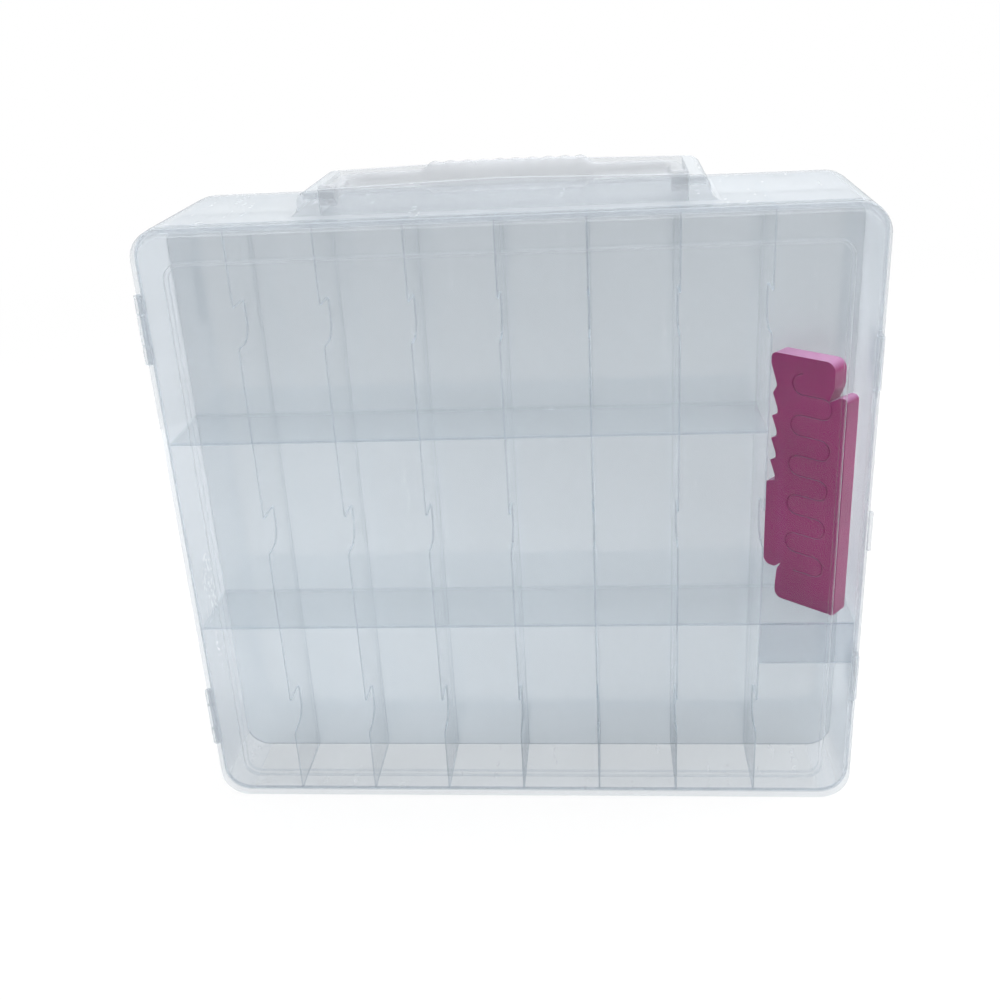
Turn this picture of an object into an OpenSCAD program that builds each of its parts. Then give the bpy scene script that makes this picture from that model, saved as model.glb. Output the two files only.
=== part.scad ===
// Double-sided embroidery thread box: a clear case with one tray of small bins on each side of a
// middle web, a hinged and latched lid over each tray, a folding carry handle on top and a loose
// thread comb in the tall bin.
// The origin is the middle of the base. +X is the latch side, -Y the front lid's side, +Z up.

/* [Case] */
// Width of the case, across the columns of bins
case_w = 364; // [350:1:420]
// Height of the case, without its handle
case_h = 335; // [320:1:400]
// Depth of each tray, from the middle of the web to the mouth
tray_d = 45; // [42:0.5:60]
// Radius of the case's outer corners
corner_r = 16; // [10:0.5:22]
// Thickness of the case's four outer walls
wall = 3; // [2.6:0.1:4]
// Thickness of the web that parts the two trays
web_t = 1.6; // [1.2:0.1:2.4]

/* [Bins] */
// Width of the tall bins' column, from the last divider's middle to the wall
tall_column_w = 50; // [48:0.5:60]
// Thickness of a divider
divider_t = 1.5; // [1:0.1:2]
// Thickness of a shelf
shelf_t = 1.6; // [1:0.1:2]
// Height of the lower shelf's middle above the base
lower_shelf_z = 111.6; // [104:0.5:116]
// Height of the upper shelf's middle above the base
upper_shelf_z = 222; // [216:0.5:230]
// Depth of the finger notches in the dividers' front edges
notch_d = 20; // [14:0.5:26]
// Height of a finger notch
notch_h = 21; // [18:0.5:26]
// Radius of a finger notch's lower inner corner
notch_low_r = 9.5; // [4:0.5:10]
// Radius of a finger notch's upper inner corner
notch_high_r = 3.5; // [2:0.5:8]
// Radius that a divider's edge is rounded to above and below a notch
notch_ease = 2.2; // [1:0.1:3]
// Distance from one notch's middle to the next one's, up a divider
notch_pitch = 115.5; // [112:0.5:118]
// Height of the lip across the small bin under the tall one
lip_h = 24; // [10:0.5:40]
// Thickness of that lip
lip_t = 1.5; // [1:0.1:2.4]

/* [Lids] */
// Thickness of a lid's walls
lid_t = 2; // [1.4:0.1:2.4]
// How far a lid's rim stands out from the case's mouth
rim_rise = 4; // [3.8:0.1:6]
// How far a lid's raised panel stands out from its rim
panel_rise = 4; // [2.5:0.1:6]
// Width of the flat border round the raised panel
panel_inset = 16; // [10:0.5:24]
// Radius of the raised panel's corners
panel_r = 9; // [6:0.5:16]
// Width of the solid bead round a lid's edge
rim_w = 3; // [2.9:0.1:4]
// How far a lid's edge stays inside the case's outline
lid_inset = 0.25; // [0.1:0.05:0.5]
// Gap between a lid's bead and the case's mouth
seat_gap = 0.3; // [0.2:0.05:0.5]
// Step in the case's outer wall that a lid's skirt goes over
rebate_step = 1.7; // [1.5:0.05:1.8]
// Depth of that step, back from the mouth
rebate_d = 3; // [2.6:0.1:5]
// Gap between a lid's skirt and the step
skirt_gap = 0.25; // [0.2:0.05:0.4]
// Length of the thumb tab in the middle of a lid's latch side
tab_len = 22; // [10:1:40]
// How far the thumb tab stands out
tab_out = 1.6; // [0.8:0.1:3]

/* [Hinges] */
// Height of the two hinges of a lid above and below the case's middle
hinge_offset = 116; // [60:1:125]
// Length of one hinge
hinge_len = 36; // [28:1:44]
// Length of the case's knuckle in the middle of a hinge
case_knuckle_len = 16; // [8:0.5:18]
// Radius of the knuckles
knuckle_r = 2.6; // [2.4:0.05:2.8]
// Radius of the hinge pins
hinge_pin_r = 1.2; // [0.8:0.05:1.4]
// How far the hinge's axis lies outside the case's wall
hinge_out = 0.8; // [0.7:0.05:1.2]
// How far the hinge's axis lies back from the mouth
hinge_back = 2.4; // [2.2:0.05:2.6]
// Gap between neighbouring knuckles, and round a knuckle
knuckle_gap = 0.3; // [0.2:0.05:0.5]
// Radial clearance of every pin in its bore
pin_clearance = 0.05; // [0.02:0.01:0.1]

/* [Latches] */
// Height of the two latches of a lid above and below the case's middle
latch_offset = 89; // [50:1:120]
// Length of one latch
latch_len = 27; // [20:1:40]
// Thickness of a latch's plate
latch_t = 1.5; // [1.2:0.1:2]
// Reach of a latch from its pin back over the case's wall
latch_reach = 21; // [18:0.5:26]
// Radius of a latch's barrel
barrel_r = 1.8; // [1.6:0.05:1.8]
// Radius of a latch pin
latch_pin_r = 0.9; // [0.7:0.05:1]
// How far a latch pin goes into the lid's bead at each end
latch_pin_grip = 3; // [2:0.5:6]
// Gap all round a latch in its cutout
latch_gap = 0.35; // [0.25:0.05:0.5]
// How far a latch's finger lip stands out from its plate
finger_lip = 1.5; // [1:0.1:3]
// Length of the snap ridge on the case and of the bead on the latch
snap_len = 16; // [8:1:20]

/* [Handle] */
// Half the length of the handle's raised seat on the case's top
seat_half_w = 100; // [94:1:120]
// Half the depth of the seat
seat_half_d = 32; // [31:0.5:38]
// Height of the seat at its ends
seat_h_end = 12.2; // [12:0.1:16]
// Height of the seat at its middle
seat_h_mid = 14.6; // [12:0.1:18]
// Radius of the seat's feet, where its ends run out on the case
seat_foot_r = 5; // [3:0.5:6]
// Radius of the seat's shoulders
seat_shoulder_r = 6.5; // [4:0.5:7]
// Thickness of the seat's long walls
seat_wall = 2.5; // [1.8:0.1:4]
// Length of the solid block at each end of the seat
seat_block = 10; // [8:0.5:14]
// Radius of the handle's round bar
bar_r = 4; // [3.5:0.1:4.5]
// Radius of the thick grip in the middle of the bar
grip_r = 8.2; // [6:0.1:8.4]
// Half the length of the grip
grip_half_w = 38; // [30:1:50]
// Length of the taper at each end of the grip
grip_taper = 8; // [4:0.5:14]
// Distance from the handle's pivot to the middle of its bar
handle_reach = 44; // [40:0.5:46]
// Radius of the bend at the handle's corners
handle_bend_r = 12; // [8:0.5:16]
// Radius of the eyes at the handle's ends
eye_r = 5; // [4.5:0.1:6]
// Radius of the handle's pins
handle_pin_r = 2.2; // [1.6:0.1:2.4]
// Height of the handle's pivots above the case's top
pivot_h = 8.5; // [8.5:0.1:9]
// Gap between the handle's eyes and the seat's blocks
eye_gap = 0.4; // [0.2:0.05:1]

/* [Thread comb] */
// Width of the comb
comb_w = 45; // [44:0.5:46]
// Height of the comb
comb_h = 140.5; // [130:0.5:190]
// Thickness of the comb
comb_t = 11; // [6:0.5:11.5]
// How far the comb is turned in its bin
comb_turn = 40; // [36:1:42]
// How far the comb stands to the right of the middle of its bin
comb_aside = 0.8; // [0:0.1:1]
// How far the comb stands back from the middle of its bin
comb_back = 3; // [0:0.1:3]
// Height of the comb's head above its shoulder
head_h = 17.5; // [15:0.5:22]
// How much narrower the comb's head is than its body
head_step = 8; // [5:0.5:10]
// Depth of the nick between the comb's head and its shoulder
nick_d = 3.6; // [2:0.1:5]
// Number of teeth in the comb
comb_teeth = 4; // [3:1:5]
// Pitch of the teeth
tooth_pitch = 12.6; // [11:0.1:13]
// Depth of the gaps between the teeth
tooth_d = 3.2; // [2:0.1:5]
// How far the teeth's tips stay inside the comb's width
tooth_back = 1.7; // [0.5:0.1:3]
// Height of the comb's foot
foot_h = 18.5; // [14:0.5:22]
// How much narrower the comb's foot is than its body
foot_step = 8; // [5:0.5:10]
// Radius of the comb's rounded corners
comb_corner_r = 4.5; // [2:0.5:6]

/* [Hidden] */
$fn = 48;

clear_plastic = [0.80, 0.84, 0.88, 0.45];
edge_plastic = [0.74, 0.79, 0.84, 0.6];
raspberry = [0.62, 0.33, 0.50, 1];

divider_count = 7;
cut = 1;
lower = -1;
upper = 1;
middle_z = case_h / 2;
inner_w = case_w - 2 * wall;
inner_h = case_h - 2 * wall;
inner_r = corner_r - wall;
column_pitch = (inner_w - tall_column_w) / divider_count;
tray_back = web_t / 2;
joint_y = (tray_d + tray_back) / 2;

lid_w = case_w - 2 * lid_inset;
lid_h = case_h - 2 * lid_inset;
lid_r = corner_r - lid_inset;
rim_face = tray_d + rim_rise;
panel_face = rim_face + panel_rise;
skirt_t = rebate_step - lid_inset - skirt_gap;
skirt_end = tray_d - rebate_d + skirt_gap;

hinge_x = -case_w / 2 - hinge_out;
hinge_y = tray_d - hinge_back;
lid_knuckle_len = (hinge_len - case_knuckle_len) / 2 - knuckle_gap;

barrel_shift = 0.1;
latch_x = lid_w / 2 - barrel_r + barrel_shift;
latch_y = rim_face - barrel_r - barrel_shift;
pocket_floor = case_w / 2 - rebate_step;
plate_gap = 0.6;
latch_plate_x = pocket_floor + plate_gap;
latch_lip_t = 1.4;
snap_r = 0.6;
snap_rise = 0.3;
snap_clearance = 0.05;
ridge_up = 7;
ridge_y = latch_y - latch_reach + ridge_up;
bead_step = 1.4;
bead_y = ridge_y - bead_step;

pivot_z = case_h + pivot_h;
eye_t = 2 * bar_r;
arm_x = seat_half_w - seat_block - eye_gap - bar_r;
pivot_y = -(seat_half_d - seat_wall - eye_r - eye_gap);
handle_pin_grip = 8;
handle_pin_len = eye_t + eye_gap + handle_pin_grip;
seat_shoulder_turn = 84;

comb_lift = 0.1;
shoulder_z = comb_h - head_h;
shoulder_r = 3;
head_w = comb_w - head_step;
head_r = 5.5;
head_point_r = 3;
heel_r = 1.5;
nick_in = 2.7;
first_tip = shoulder_z - 4.6;
tooth_root = tooth_back + tooth_d;
flank_share = 0.63;
root_share = 0.87;
slit_d = 3.2;
foot_ease = 0.8;

// A point at angle a on a circle round [x, y]
function on_circle(x, y, r, a) = [x + r * cos(a), y + r * sin(a)];

// The points of an arc from angle a to angle b in the given number of steps
function arc(x, y, r, a, b, steps = 6) =
    [for (i = [0 : steps]) on_circle(x, y, r, a + (b - a) * i / steps)];

// Middle of divider i, counted from the hinge side
function divider_x(i) = -inner_w / 2 + i * column_pitch;

// Repeats what is drawn for the front at the rear
module front_and_rear() {
    children();
    mirror([0, 1, 0])
        children();
}

// Rectangle with round corners, about its middle
module round_rect(w, h, r) {
    square([w - 2 * r, h], center = true);
    square([w, h - 2 * r], center = true);
    for (x = [-1, 1], y = [-1, 1])
        translate([x * (w / 2 - r), y * (h / 2 - r)])
            circle(r);
}

// Upright slab with round corners, as far in front of the web as the two distances say
module front_slab(w, h, r, near, far) {
    translate([0, -near, middle_z])
        rotate([90, 0, 0])
            linear_extrude(far - near)
                round_rect(w, h, r);
}

// Upright cylinder about a point in front of the web
module post(x, y, z, r, length) {
    translate([x, -y, z - length / 2])
        cylinder(r = r, h = length);
}

// Block given by its lowest and highest corners
module block(low, high) {
    translate(low)
        cube(high - low);
}

// Heights of a lid's hinges, latches or notches
function heights(offset) = [middle_z - offset, middle_z + offset];

// The two lid knuckles of each front hinge, with room round them
module lid_knuckles(extra) {
    for (z = heights(hinge_offset), side = [-1, 1])
        post(hinge_x, hinge_y, z + side * (hinge_len - lid_knuckle_len) / 2,
             knuckle_r + extra, lid_knuckle_len + 2 * extra);
}

// The case's knuckle of each front hinge, with room round it
module case_knuckles(extra) {
    for (z = heights(hinge_offset))
        post(hinge_x, hinge_y, z, knuckle_r + extra, case_knuckle_len + 2 * extra);
}

// The bores or pins of the front hinges
module hinge_rods(r, length) {
    for (z = heights(hinge_offset))
        post(hinge_x, hinge_y, z, r, length);
}

// Pocket in the case's wall under each front latch
module latch_pockets() {
    for (z = heights(latch_offset))
        block([pocket_floor, -tray_d - cut, z - latch_len / 2 - latch_gap],
              [case_w / 2 + cut, -(latch_y - latch_reach - latch_gap - cut),
               z + latch_len / 2 + latch_gap]);
}

// Low ridge in each pocket that a front latch snaps over
module snap_ridges() {
    for (z = heights(latch_offset))
        post(pocket_floor - snap_r + snap_rise, ridge_y, z, snap_r, snap_len);
}

// The ring of outer walls
module case_ring() {
    difference() {
        front_slab(case_w, case_h, corner_r, -tray_d, tray_d);
        front_slab(inner_w, inner_h, inner_r, -tray_d - cut, tray_d + cut);
        front_and_rear()
            difference() {
                front_slab(case_w + 2 * cut, case_h + 2 * cut, corner_r,
                           tray_d - rebate_d, tray_d + cut);
                front_slab(case_w - 2 * rebate_step, case_h - 2 * rebate_step,
                           corner_r - rebate_step, tray_d - rebate_d - cut, tray_d + 2 * cut);
            }
    }
}

module case_frame() {
    color(clear_plastic) {
        difference() {
            union() {
                case_ring();
                front_and_rear()
                    case_knuckles(0);
            }
            front_and_rear() {
                lid_knuckles(knuckle_gap);
                hinge_rods(hinge_pin_r + pin_clearance, hinge_len);
                latch_pockets();
            }
        }
        front_and_rear()
            snap_ridges();
    }
}

module centre_web() {
    color(clear_plastic)
        front_slab(inner_w, inner_h, inner_r, -web_t / 2, web_t / 2);
}

// Shelf between two places across the case, slotted at the back for the dividers it crosses
module front_shelf(z, from_x, to_x, crossed) {
    color(clear_plastic)
        difference() {
            block([from_x, -tray_d, z - shelf_t / 2], [to_x, -tray_back, z + shelf_t / 2]);
            for (i = [1 : crossed])
                block([divider_x(i) - divider_t / 2, -joint_y, z - shelf_t],
                      [divider_x(i) + divider_t / 2, cut, z + shelf_t]);
        }
}

module front_upper_shelf() {
    front_shelf(upper_shelf_z, -inner_w / 2, divider_x(divider_count) - divider_t / 2,
                divider_count - 1);
}

module front_lower_shelf() {
    front_shelf(lower_shelf_z, -inner_w / 2, inner_w / 2, divider_count);
}

// A finger notch, open at the front edge that lies on the axis
module notch_outline() {
    half = notch_h / 2;
    polygon(concat(
        [[-cut, -half - notch_ease]],
        arc(notch_ease, -half - notch_ease, notch_ease, 180, 90),
        arc(notch_d - notch_low_r, notch_low_r - half, notch_low_r, 270, 360),
        arc(notch_d - notch_high_r, half - notch_high_r, notch_high_r, 0, 90),
        arc(notch_ease, half + notch_ease, notch_ease, 270, 180),
        [[-cut, half + notch_ease]]
    ));
}

// Divider i, slotted at the front for the shelves that cross it
module front_divider(i) {
    crossing = i < divider_count ? [lower_shelf_z, upper_shelf_z] : [lower_shelf_z];
    color(clear_plastic)
        translate([divider_x(i) - divider_t / 2, 0, 0])
            rotate([90, 0, 90])
                linear_extrude(divider_t)
                    difference() {
                        translate([-tray_d, wall])
                            square([tray_d - tray_back, inner_h]);
                        for (z = crossing)
                            translate([-tray_d - cut, z - shelf_t / 2])
                                square([tray_d - joint_y + cut, shelf_t]);
                        for (row = [-1, 0, 1])
                            translate([-tray_d, middle_z + row * notch_pitch])
                                notch_outline();
                    }
}

module rear_divider(i) {
    mirror([0, 1, 0])
        front_divider(i);
}

module front_bin_lip() {
    color(clear_plastic)
        block([divider_x(divider_count) + divider_t / 2, -tray_d,
               lower_shelf_z - shelf_t / 2 - lip_h],
              [inner_w / 2, lip_t - tray_d, lower_shelf_z - shelf_t / 2]);
}

// A lid's shell: bead, skirt, flat border and raised panel
module lid_shell() {
    panel_w = lid_w - 2 * panel_inset;
    panel_h = lid_h - 2 * panel_inset;
    difference() {
        union() {
            front_slab(lid_w, lid_h, lid_r, skirt_end, rim_face);
            front_slab(panel_w, panel_h, panel_r, rim_face - lid_t, panel_face);
        }
        front_slab(lid_w - 2 * skirt_t, lid_h - 2 * skirt_t, lid_r - skirt_t,
                   skirt_end - cut, tray_d + seat_gap);
        front_slab(lid_w - 2 * rim_w, lid_h - 2 * rim_w, lid_r - rim_w,
                   skirt_end - cut, rim_face - lid_t);
        front_slab(panel_w - 2 * lid_t, panel_h - 2 * lid_t, panel_r - lid_t,
                   skirt_end - cut, panel_face - lid_t);
    }
}

module thumb_tab() {
    block([lid_w / 2 - cut, -rim_face, middle_z - tab_len / 2],
          [lid_w / 2 + tab_out, -(rim_face - lid_t), middle_z + tab_len / 2]);
}

// The gap in a lid's bead where each latch turns
module latch_cutouts() {
    for (z = heights(latch_offset))
        block([latch_x - barrel_r - latch_gap, -rim_face - cut,
               z - latch_len / 2 - latch_gap],
              [lid_w / 2 + cut, cut - skirt_end, z + latch_len / 2 + latch_gap]);
}

// The bores or pins of the front latches
module latch_rods(r, length) {
    for (z = heights(latch_offset))
        post(latch_x, latch_y, z, r, length);
}

module front_lid() {
    pin_len = latch_len + 2 * latch_gap + 2 * latch_pin_grip;
    color(clear_plastic)
        difference() {
            union() {
                lid_shell();
                lid_knuckles(0);
                thumb_tab();
            }
            case_knuckles(knuckle_gap);
            hinge_rods(hinge_pin_r + pin_clearance, hinge_len);
            latch_cutouts();
            latch_rods(latch_pin_r + pin_clearance, pin_len + 2 * pin_clearance);
        }
}

module front_hinge_pins() {
    color(edge_plastic)
        hinge_rods(hinge_pin_r, hinge_len);
}

module front_latch_pins() {
    color(edge_plastic)
        latch_rods(latch_pin_r, latch_len + 2 * latch_gap + 2 * latch_pin_grip);
}

// Latch on the front lid, on the lower or the upper side of the middle
module front_latch(side) {
    z = middle_z + side * latch_offset;
    low = z - latch_len / 2;
    high = z + latch_len / 2;
    plate_end = latch_y - latch_reach;
    color(edge_plastic)
        difference() {
            union() {
                post(latch_x, latch_y, z, barrel_r, latch_len);
                block([latch_plate_x, -latch_y, low], [latch_plate_x + latch_t, -plate_end, high]);
                block([latch_plate_x, -plate_end - latch_lip_t, low],
                      [latch_plate_x + latch_t + finger_lip, -plate_end, high]);
                post(pocket_floor + snap_rise + snap_clearance + snap_r, bead_y, z,
                     snap_r, snap_len);
            }
            post(latch_x, latch_y, z, latch_pin_r + pin_clearance, latch_len + 2 * cut);
        }
}

module rear_latch(side) {
    mirror([0, 1, 0])
        front_latch(side);
}

// Side view of the handle's seat: round feet, round shoulders and a top that rises to the middle
function seat_half_outline() = concat(
    arc(seat_half_w + seat_foot_r, seat_foot_r, seat_foot_r, 270, 180),
    arc(seat_half_w - seat_shoulder_r, seat_h_end - seat_shoulder_r, seat_shoulder_r, 0,
        seat_shoulder_turn),
    [[0, seat_h_mid], [0, 0]]
);

module handle_seat() {
    pocket_half_w = seat_half_w - seat_block;
    pocket_half_d = seat_half_d - seat_wall;
    pin_reach = handle_pin_len - eye_t - eye_gap;
    color(clear_plastic)
        difference() {
            for (side = [0, 1])
                mirror([side, 0, 0])
                    translate([0, seat_half_d, case_h])
                        rotate([90, 0, 0])
                            linear_extrude(2 * seat_half_d)
                                polygon(seat_half_outline());
            block([-pocket_half_w, -pocket_half_d, case_h - cut],
                  [pocket_half_w, pocket_half_d, case_h + seat_h_mid + cut]);
            for (side = [-1, 1])
                translate([side * (pocket_half_w + pin_reach / 2), pivot_y, pivot_z])
                    rotate([0, 90, 0])
                        cylinder(r = handle_pin_r + pin_clearance,
                                 h = pin_reach + 2 * pin_clearance, center = true);
        }
}

// One half of the handle: eye, arm, bend, bar and half of the grip
module half_handle() {
    arm_len = handle_reach - handle_bend_r;
    bend_x = arm_x - handle_bend_r;
    taper_end = grip_half_w + grip_taper;
    rotate([0, 90, 0])
        translate([0, 0, arm_x - eye_t / 2])
            cylinder(r = eye_r, h = eye_t);
    translate([arm_x, 0, 0])
        rotate([-90, 0, 0])
            cylinder(r = bar_r, h = arm_len);
    translate([bend_x, arm_len, 0])
        rotate_extrude(angle = 90)
            translate([handle_bend_r, 0])
                circle(bar_r);
    translate([0, handle_reach, 0])
        rotate([0, 90, 0]) {
            cylinder(r = bar_r, h = bend_x);
            cylinder(r = grip_r, h = grip_half_w);
            translate([0, 0, grip_half_w])
                cylinder(r1 = grip_r, r2 = bar_r, h = grip_taper);
        }
}

module carry_handle() {
    color(edge_plastic)
        translate([0, pivot_y, pivot_z])
            difference() {
                for (side = [0, 1])
                    mirror([side, 0, 0])
                        half_handle();
                rotate([0, 90, 0])
                    cylinder(r = handle_pin_r + pin_clearance, h = case_w, center = true);
            }
}

module handle_pins() {
    color(edge_plastic)
        for (side = [-1, 1])
            translate([side * (arm_x - eye_t / 2 + handle_pin_len / 2), pivot_y, pivot_z])
                rotate([0, 90, 0])
                    cylinder(r = handle_pin_r, h = handle_pin_len, center = true);
}

// One tooth of the comb, from its tip down to the next one's: flank and root
function tooth(tip) = [
    [tooth_back, tip],
    [tooth_root, tip - flank_share * tooth_pitch],
    [tooth_root, tip - root_share * tooth_pitch]
];

// The right side of the comb: heel, shoulder, nick and the head's round corner
function comb_right_side() = concat(
    arc(comb_w - heel_r, heel_r, heel_r, 270, 360, 3),
    arc(comb_w - shoulder_r, shoulder_z - shoulder_r, shoulder_r, 0, 90, 4),
    [[head_w + nick_d, shoulder_z], [head_w - nick_in, shoulder_z - nick_d],
     [head_w, shoulder_z + nick_d]],
    arc(head_w - head_r, comb_h - head_r, head_r, 0, 90)
);

// The left side of the comb, downwards: the head's point, the teeth, the block and the foot
function comb_left_side() = concat(
    arc(head_point_r, comb_h - head_point_r, head_point_r, 90, 180, 4),
    [[0, comb_h - 2 * head_point_r], [tooth_root - foot_ease, shoulder_z]],
    [for (i = [0 : comb_teeth - 1]) each tooth(first_tip - i * tooth_pitch)],
    [[0, first_tip - comb_teeth * tooth_pitch]],
    arc(comb_corner_r, foot_h + comb_corner_r, comb_corner_r, 180, 270, 5),
    [[foot_step - foot_ease, foot_h], [foot_step + slit_d, foot_h + slit_d],
     [foot_step + foot_ease, foot_h - foot_ease], [foot_step, foot_h / 2]],
    arc(foot_step + comb_corner_r, comb_corner_r, comb_corner_r, 180, 270, 5)
);

module thread_comb() {
    bin_x = (divider_x(divider_count) + divider_t / 2 + inner_w / 2) / 2;
    bin_y = -joint_y;
    color(raspberry)
        translate([bin_x + comb_aside, bin_y + comb_back, lower_shelf_z + shelf_t / 2 + comb_lift])
            rotate([0, 0, -comb_turn])
                translate([-comb_w / 2, comb_t / 2, 0])
                    rotate([90, 0, 0])
                        linear_extrude(comb_t)
                            polygon(concat(comb_right_side(), comb_left_side()));
}

case_frame();
centre_web();
front_upper_shelf();
front_lower_shelf();
mirror([0, 1, 0]) front_upper_shelf();  // rear_upper_shelf
mirror([0, 1, 0]) front_lower_shelf();  // rear_lower_shelf
front_divider(1);  // front_divider_1
front_divider(2);  // front_divider_2
front_divider(3);  // front_divider_3
front_divider(4);  // front_divider_4
front_divider(5);  // front_divider_5
front_divider(6);  // front_divider_6
front_divider(7);  // front_divider_7
rear_divider(1);  // rear_divider_1
rear_divider(2);  // rear_divider_2
rear_divider(3);  // rear_divider_3
rear_divider(4);  // rear_divider_4
rear_divider(5);  // rear_divider_5
rear_divider(6);  // rear_divider_6
rear_divider(7);  // rear_divider_7
front_bin_lip();
mirror([0, 1, 0]) front_bin_lip();  // rear_bin_lip
front_lid();
mirror([0, 1, 0]) front_lid();  // rear_lid
front_hinge_pins();
mirror([0, 1, 0]) front_hinge_pins();  // rear_hinge_pins
front_latch(upper);  // front_upper_latch
front_latch(lower);  // front_lower_latch
rear_latch(upper);  // rear_upper_latch
rear_latch(lower);  // rear_lower_latch
front_latch_pins();
mirror([0, 1, 0]) front_latch_pins();  // rear_latch_pins
handle_seat();
carry_handle();
handle_pins();
thread_comb();
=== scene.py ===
"""Clear double-sided embroidery thread box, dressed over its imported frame.

Every length is in metres and every piece is made where it stands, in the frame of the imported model:
+X towards the latches, -Y towards the front lid, +Z up, with the origin in the middle of the base.
"""

import logging
import math
from dataclasses import dataclass, field
from enum import Enum

import bmesh
import bpy
from mathutils import Matrix, Vector


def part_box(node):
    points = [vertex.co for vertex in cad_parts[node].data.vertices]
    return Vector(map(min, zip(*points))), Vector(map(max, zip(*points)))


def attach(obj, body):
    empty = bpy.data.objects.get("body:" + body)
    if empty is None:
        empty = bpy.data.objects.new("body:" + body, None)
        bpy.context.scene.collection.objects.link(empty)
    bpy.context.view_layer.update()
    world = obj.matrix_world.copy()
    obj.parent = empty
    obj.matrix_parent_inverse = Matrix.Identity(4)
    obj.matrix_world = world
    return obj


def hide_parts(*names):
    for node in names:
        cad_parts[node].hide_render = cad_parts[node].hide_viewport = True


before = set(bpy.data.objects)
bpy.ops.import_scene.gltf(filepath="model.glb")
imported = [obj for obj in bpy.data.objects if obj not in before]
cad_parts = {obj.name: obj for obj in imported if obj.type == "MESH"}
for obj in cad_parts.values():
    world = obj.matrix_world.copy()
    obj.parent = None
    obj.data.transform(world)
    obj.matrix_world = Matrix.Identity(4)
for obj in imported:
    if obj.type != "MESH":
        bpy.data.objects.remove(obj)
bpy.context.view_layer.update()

MM = 0.001
# Points closer together than this count as one, and the handle's halves are joined within WELD.
SAME_PLACE = 1e-6
WELD = 1e-5
# The faces of a round corner and of a soft edge, and those round a knuckle or a rod.
CORNER_STEPS = 8
EDGE_STEPS = 3
KNUCKLE_SIDES = 28
RIGHT_ANGLE = math.pi / 2
WHITE = (1.0, 1.0, 1.0, 1.0)

# Painted light: the haze is painted paler this way, low down at the left, as if lit from there,
# between these two distances.
PAINTED_LIGHT_WAY = (-0.35, 0.0, -0.94)
PAINTED_LIGHT_RANGE = (-0.2, 0.0)
# A wall's squareness is this when it is looked at squarely, and 1 less at a glance.
SQUARE_ON = 1.25
# The refractive index of the plastic that blurs what is seen through it.
BLUR_INDEX = 1.3
# How much paler than the haze the scuffs are, and how many there are on clear plastic.
SCUFF_GAIN = 1.3
CLEAR_SCUFFS = 0.06
# The upward parts of a face's direction at which the painted light on faces that look up starts and is
# full.
TOP_LIGHT_SLOPES = (0.3, 0.95)

Colour = tuple[float, float, float]
Point = tuple[float, float, float]
Mesh = bmesh.types.BMesh
Vert = bmesh.types.BMVert
Edge = bmesh.types.BMEdge
Face = bmesh.types.BMFace
Socket = bpy.types.NodeSocket

logging.basicConfig(level=logging.INFO, format="%(levelname)s %(message)s")
log = logging.getLogger("thread_box")


class Side(Enum):
    """The two faces of the box, by the sign of their Y."""

    FRONT = -1
    REAR = 1

    @property
    def word(self) -> str:
        """The side's name, as the nodes spell it."""
        return self.name.lower()


class Level(Enum):
    """The two heights of a tray's shelves and of a lid's latches."""

    LOWER = -1
    UPPER = 1

    @property
    def word(self) -> str:
        """The level's name, as the nodes spell it."""
        return self.name.lower()


# Shader graphs


class Graph:
    """A short way to write a node tree: one call adds a node with its values and links."""

    def __init__(self, tree: bpy.types.NodeTree) -> None:
        """Keep the tree of a material, a world or a group, which the nodes go into."""
        self.tree = tree

    def add(self, kind: str, inputs: dict | None = None, **settings: object) -> bpy.types.Node:
        """Add a node, set its properties and fill its inputs.

        Args:
            kind: the node's Blender type name.
            inputs: a value or an output socket for each input, by name or number.
            settings: the node's own properties.

        Returns:
            The new node.
        """
        node = self.tree.nodes.new(kind)
        for name, value in settings.items():
            setattr(node, name, value)
        for key, value in (inputs or {}).items():
            if isinstance(value, Socket):
                self.tree.links.new(value, node.inputs[key])
            else:
                node.inputs[key].default_value = value
        return node

    def first(self, kind: str, inputs: dict | None = None, **settings: object) -> Socket:
        """Add a node as add does and return its first output."""
        return self.add(kind, inputs, **settings).outputs[0]

    def maths(self, operation: str, one: object, two: object = 0.0) -> Socket:
        """Add a Math node and return its output."""
        return self.first("ShaderNodeMath", {0: one, 1: two}, operation=operation)

    def value_mix(self, share: object, none: object, full: object) -> Socket:
        """Mix two values by a share from 0 to 1 and return the result."""
        return self.first("ShaderNodeMix", {0: share, 2: none, 3: full}, data_type="FLOAT")

    def colour_mix(self, share: object, none: object, full: object) -> Socket:
        """Mix two colours by a share from 0 to 1 and return the result."""
        mix = self.add("ShaderNodeMix", {0: share, 6: none, 7: full}, data_type="RGBA")
        return mix.outputs[2]

    def shader_mix(self, share: object, none: Socket, full: Socket) -> Socket:
        """Mix two shaders by a share from 0 to 1 and return the result."""
        return self.first("ShaderNodeMixShader", {0: share, 1: none, 2: full})

    def ranged(
        self, value: Socket, given: tuple, wanted: tuple = (0.0, 1.0), **settings: object
    ) -> Socket:
        """Carry a range of values to another range, clamped at its ends.

        Args:
            value: the value to carry over.
            given: the two ends of its range.
            wanted: the two ends that they are carried to.
            settings: the node's own properties.

        Returns:
            The carried value.
        """
        ends = {"From Min": given[0], "From Max": given[1], "To Min": wanted[0], "To Max": wanted[1]}
        return self.first("ShaderNodeMapRange", {"Value": value, **ends}, **settings)


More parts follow.
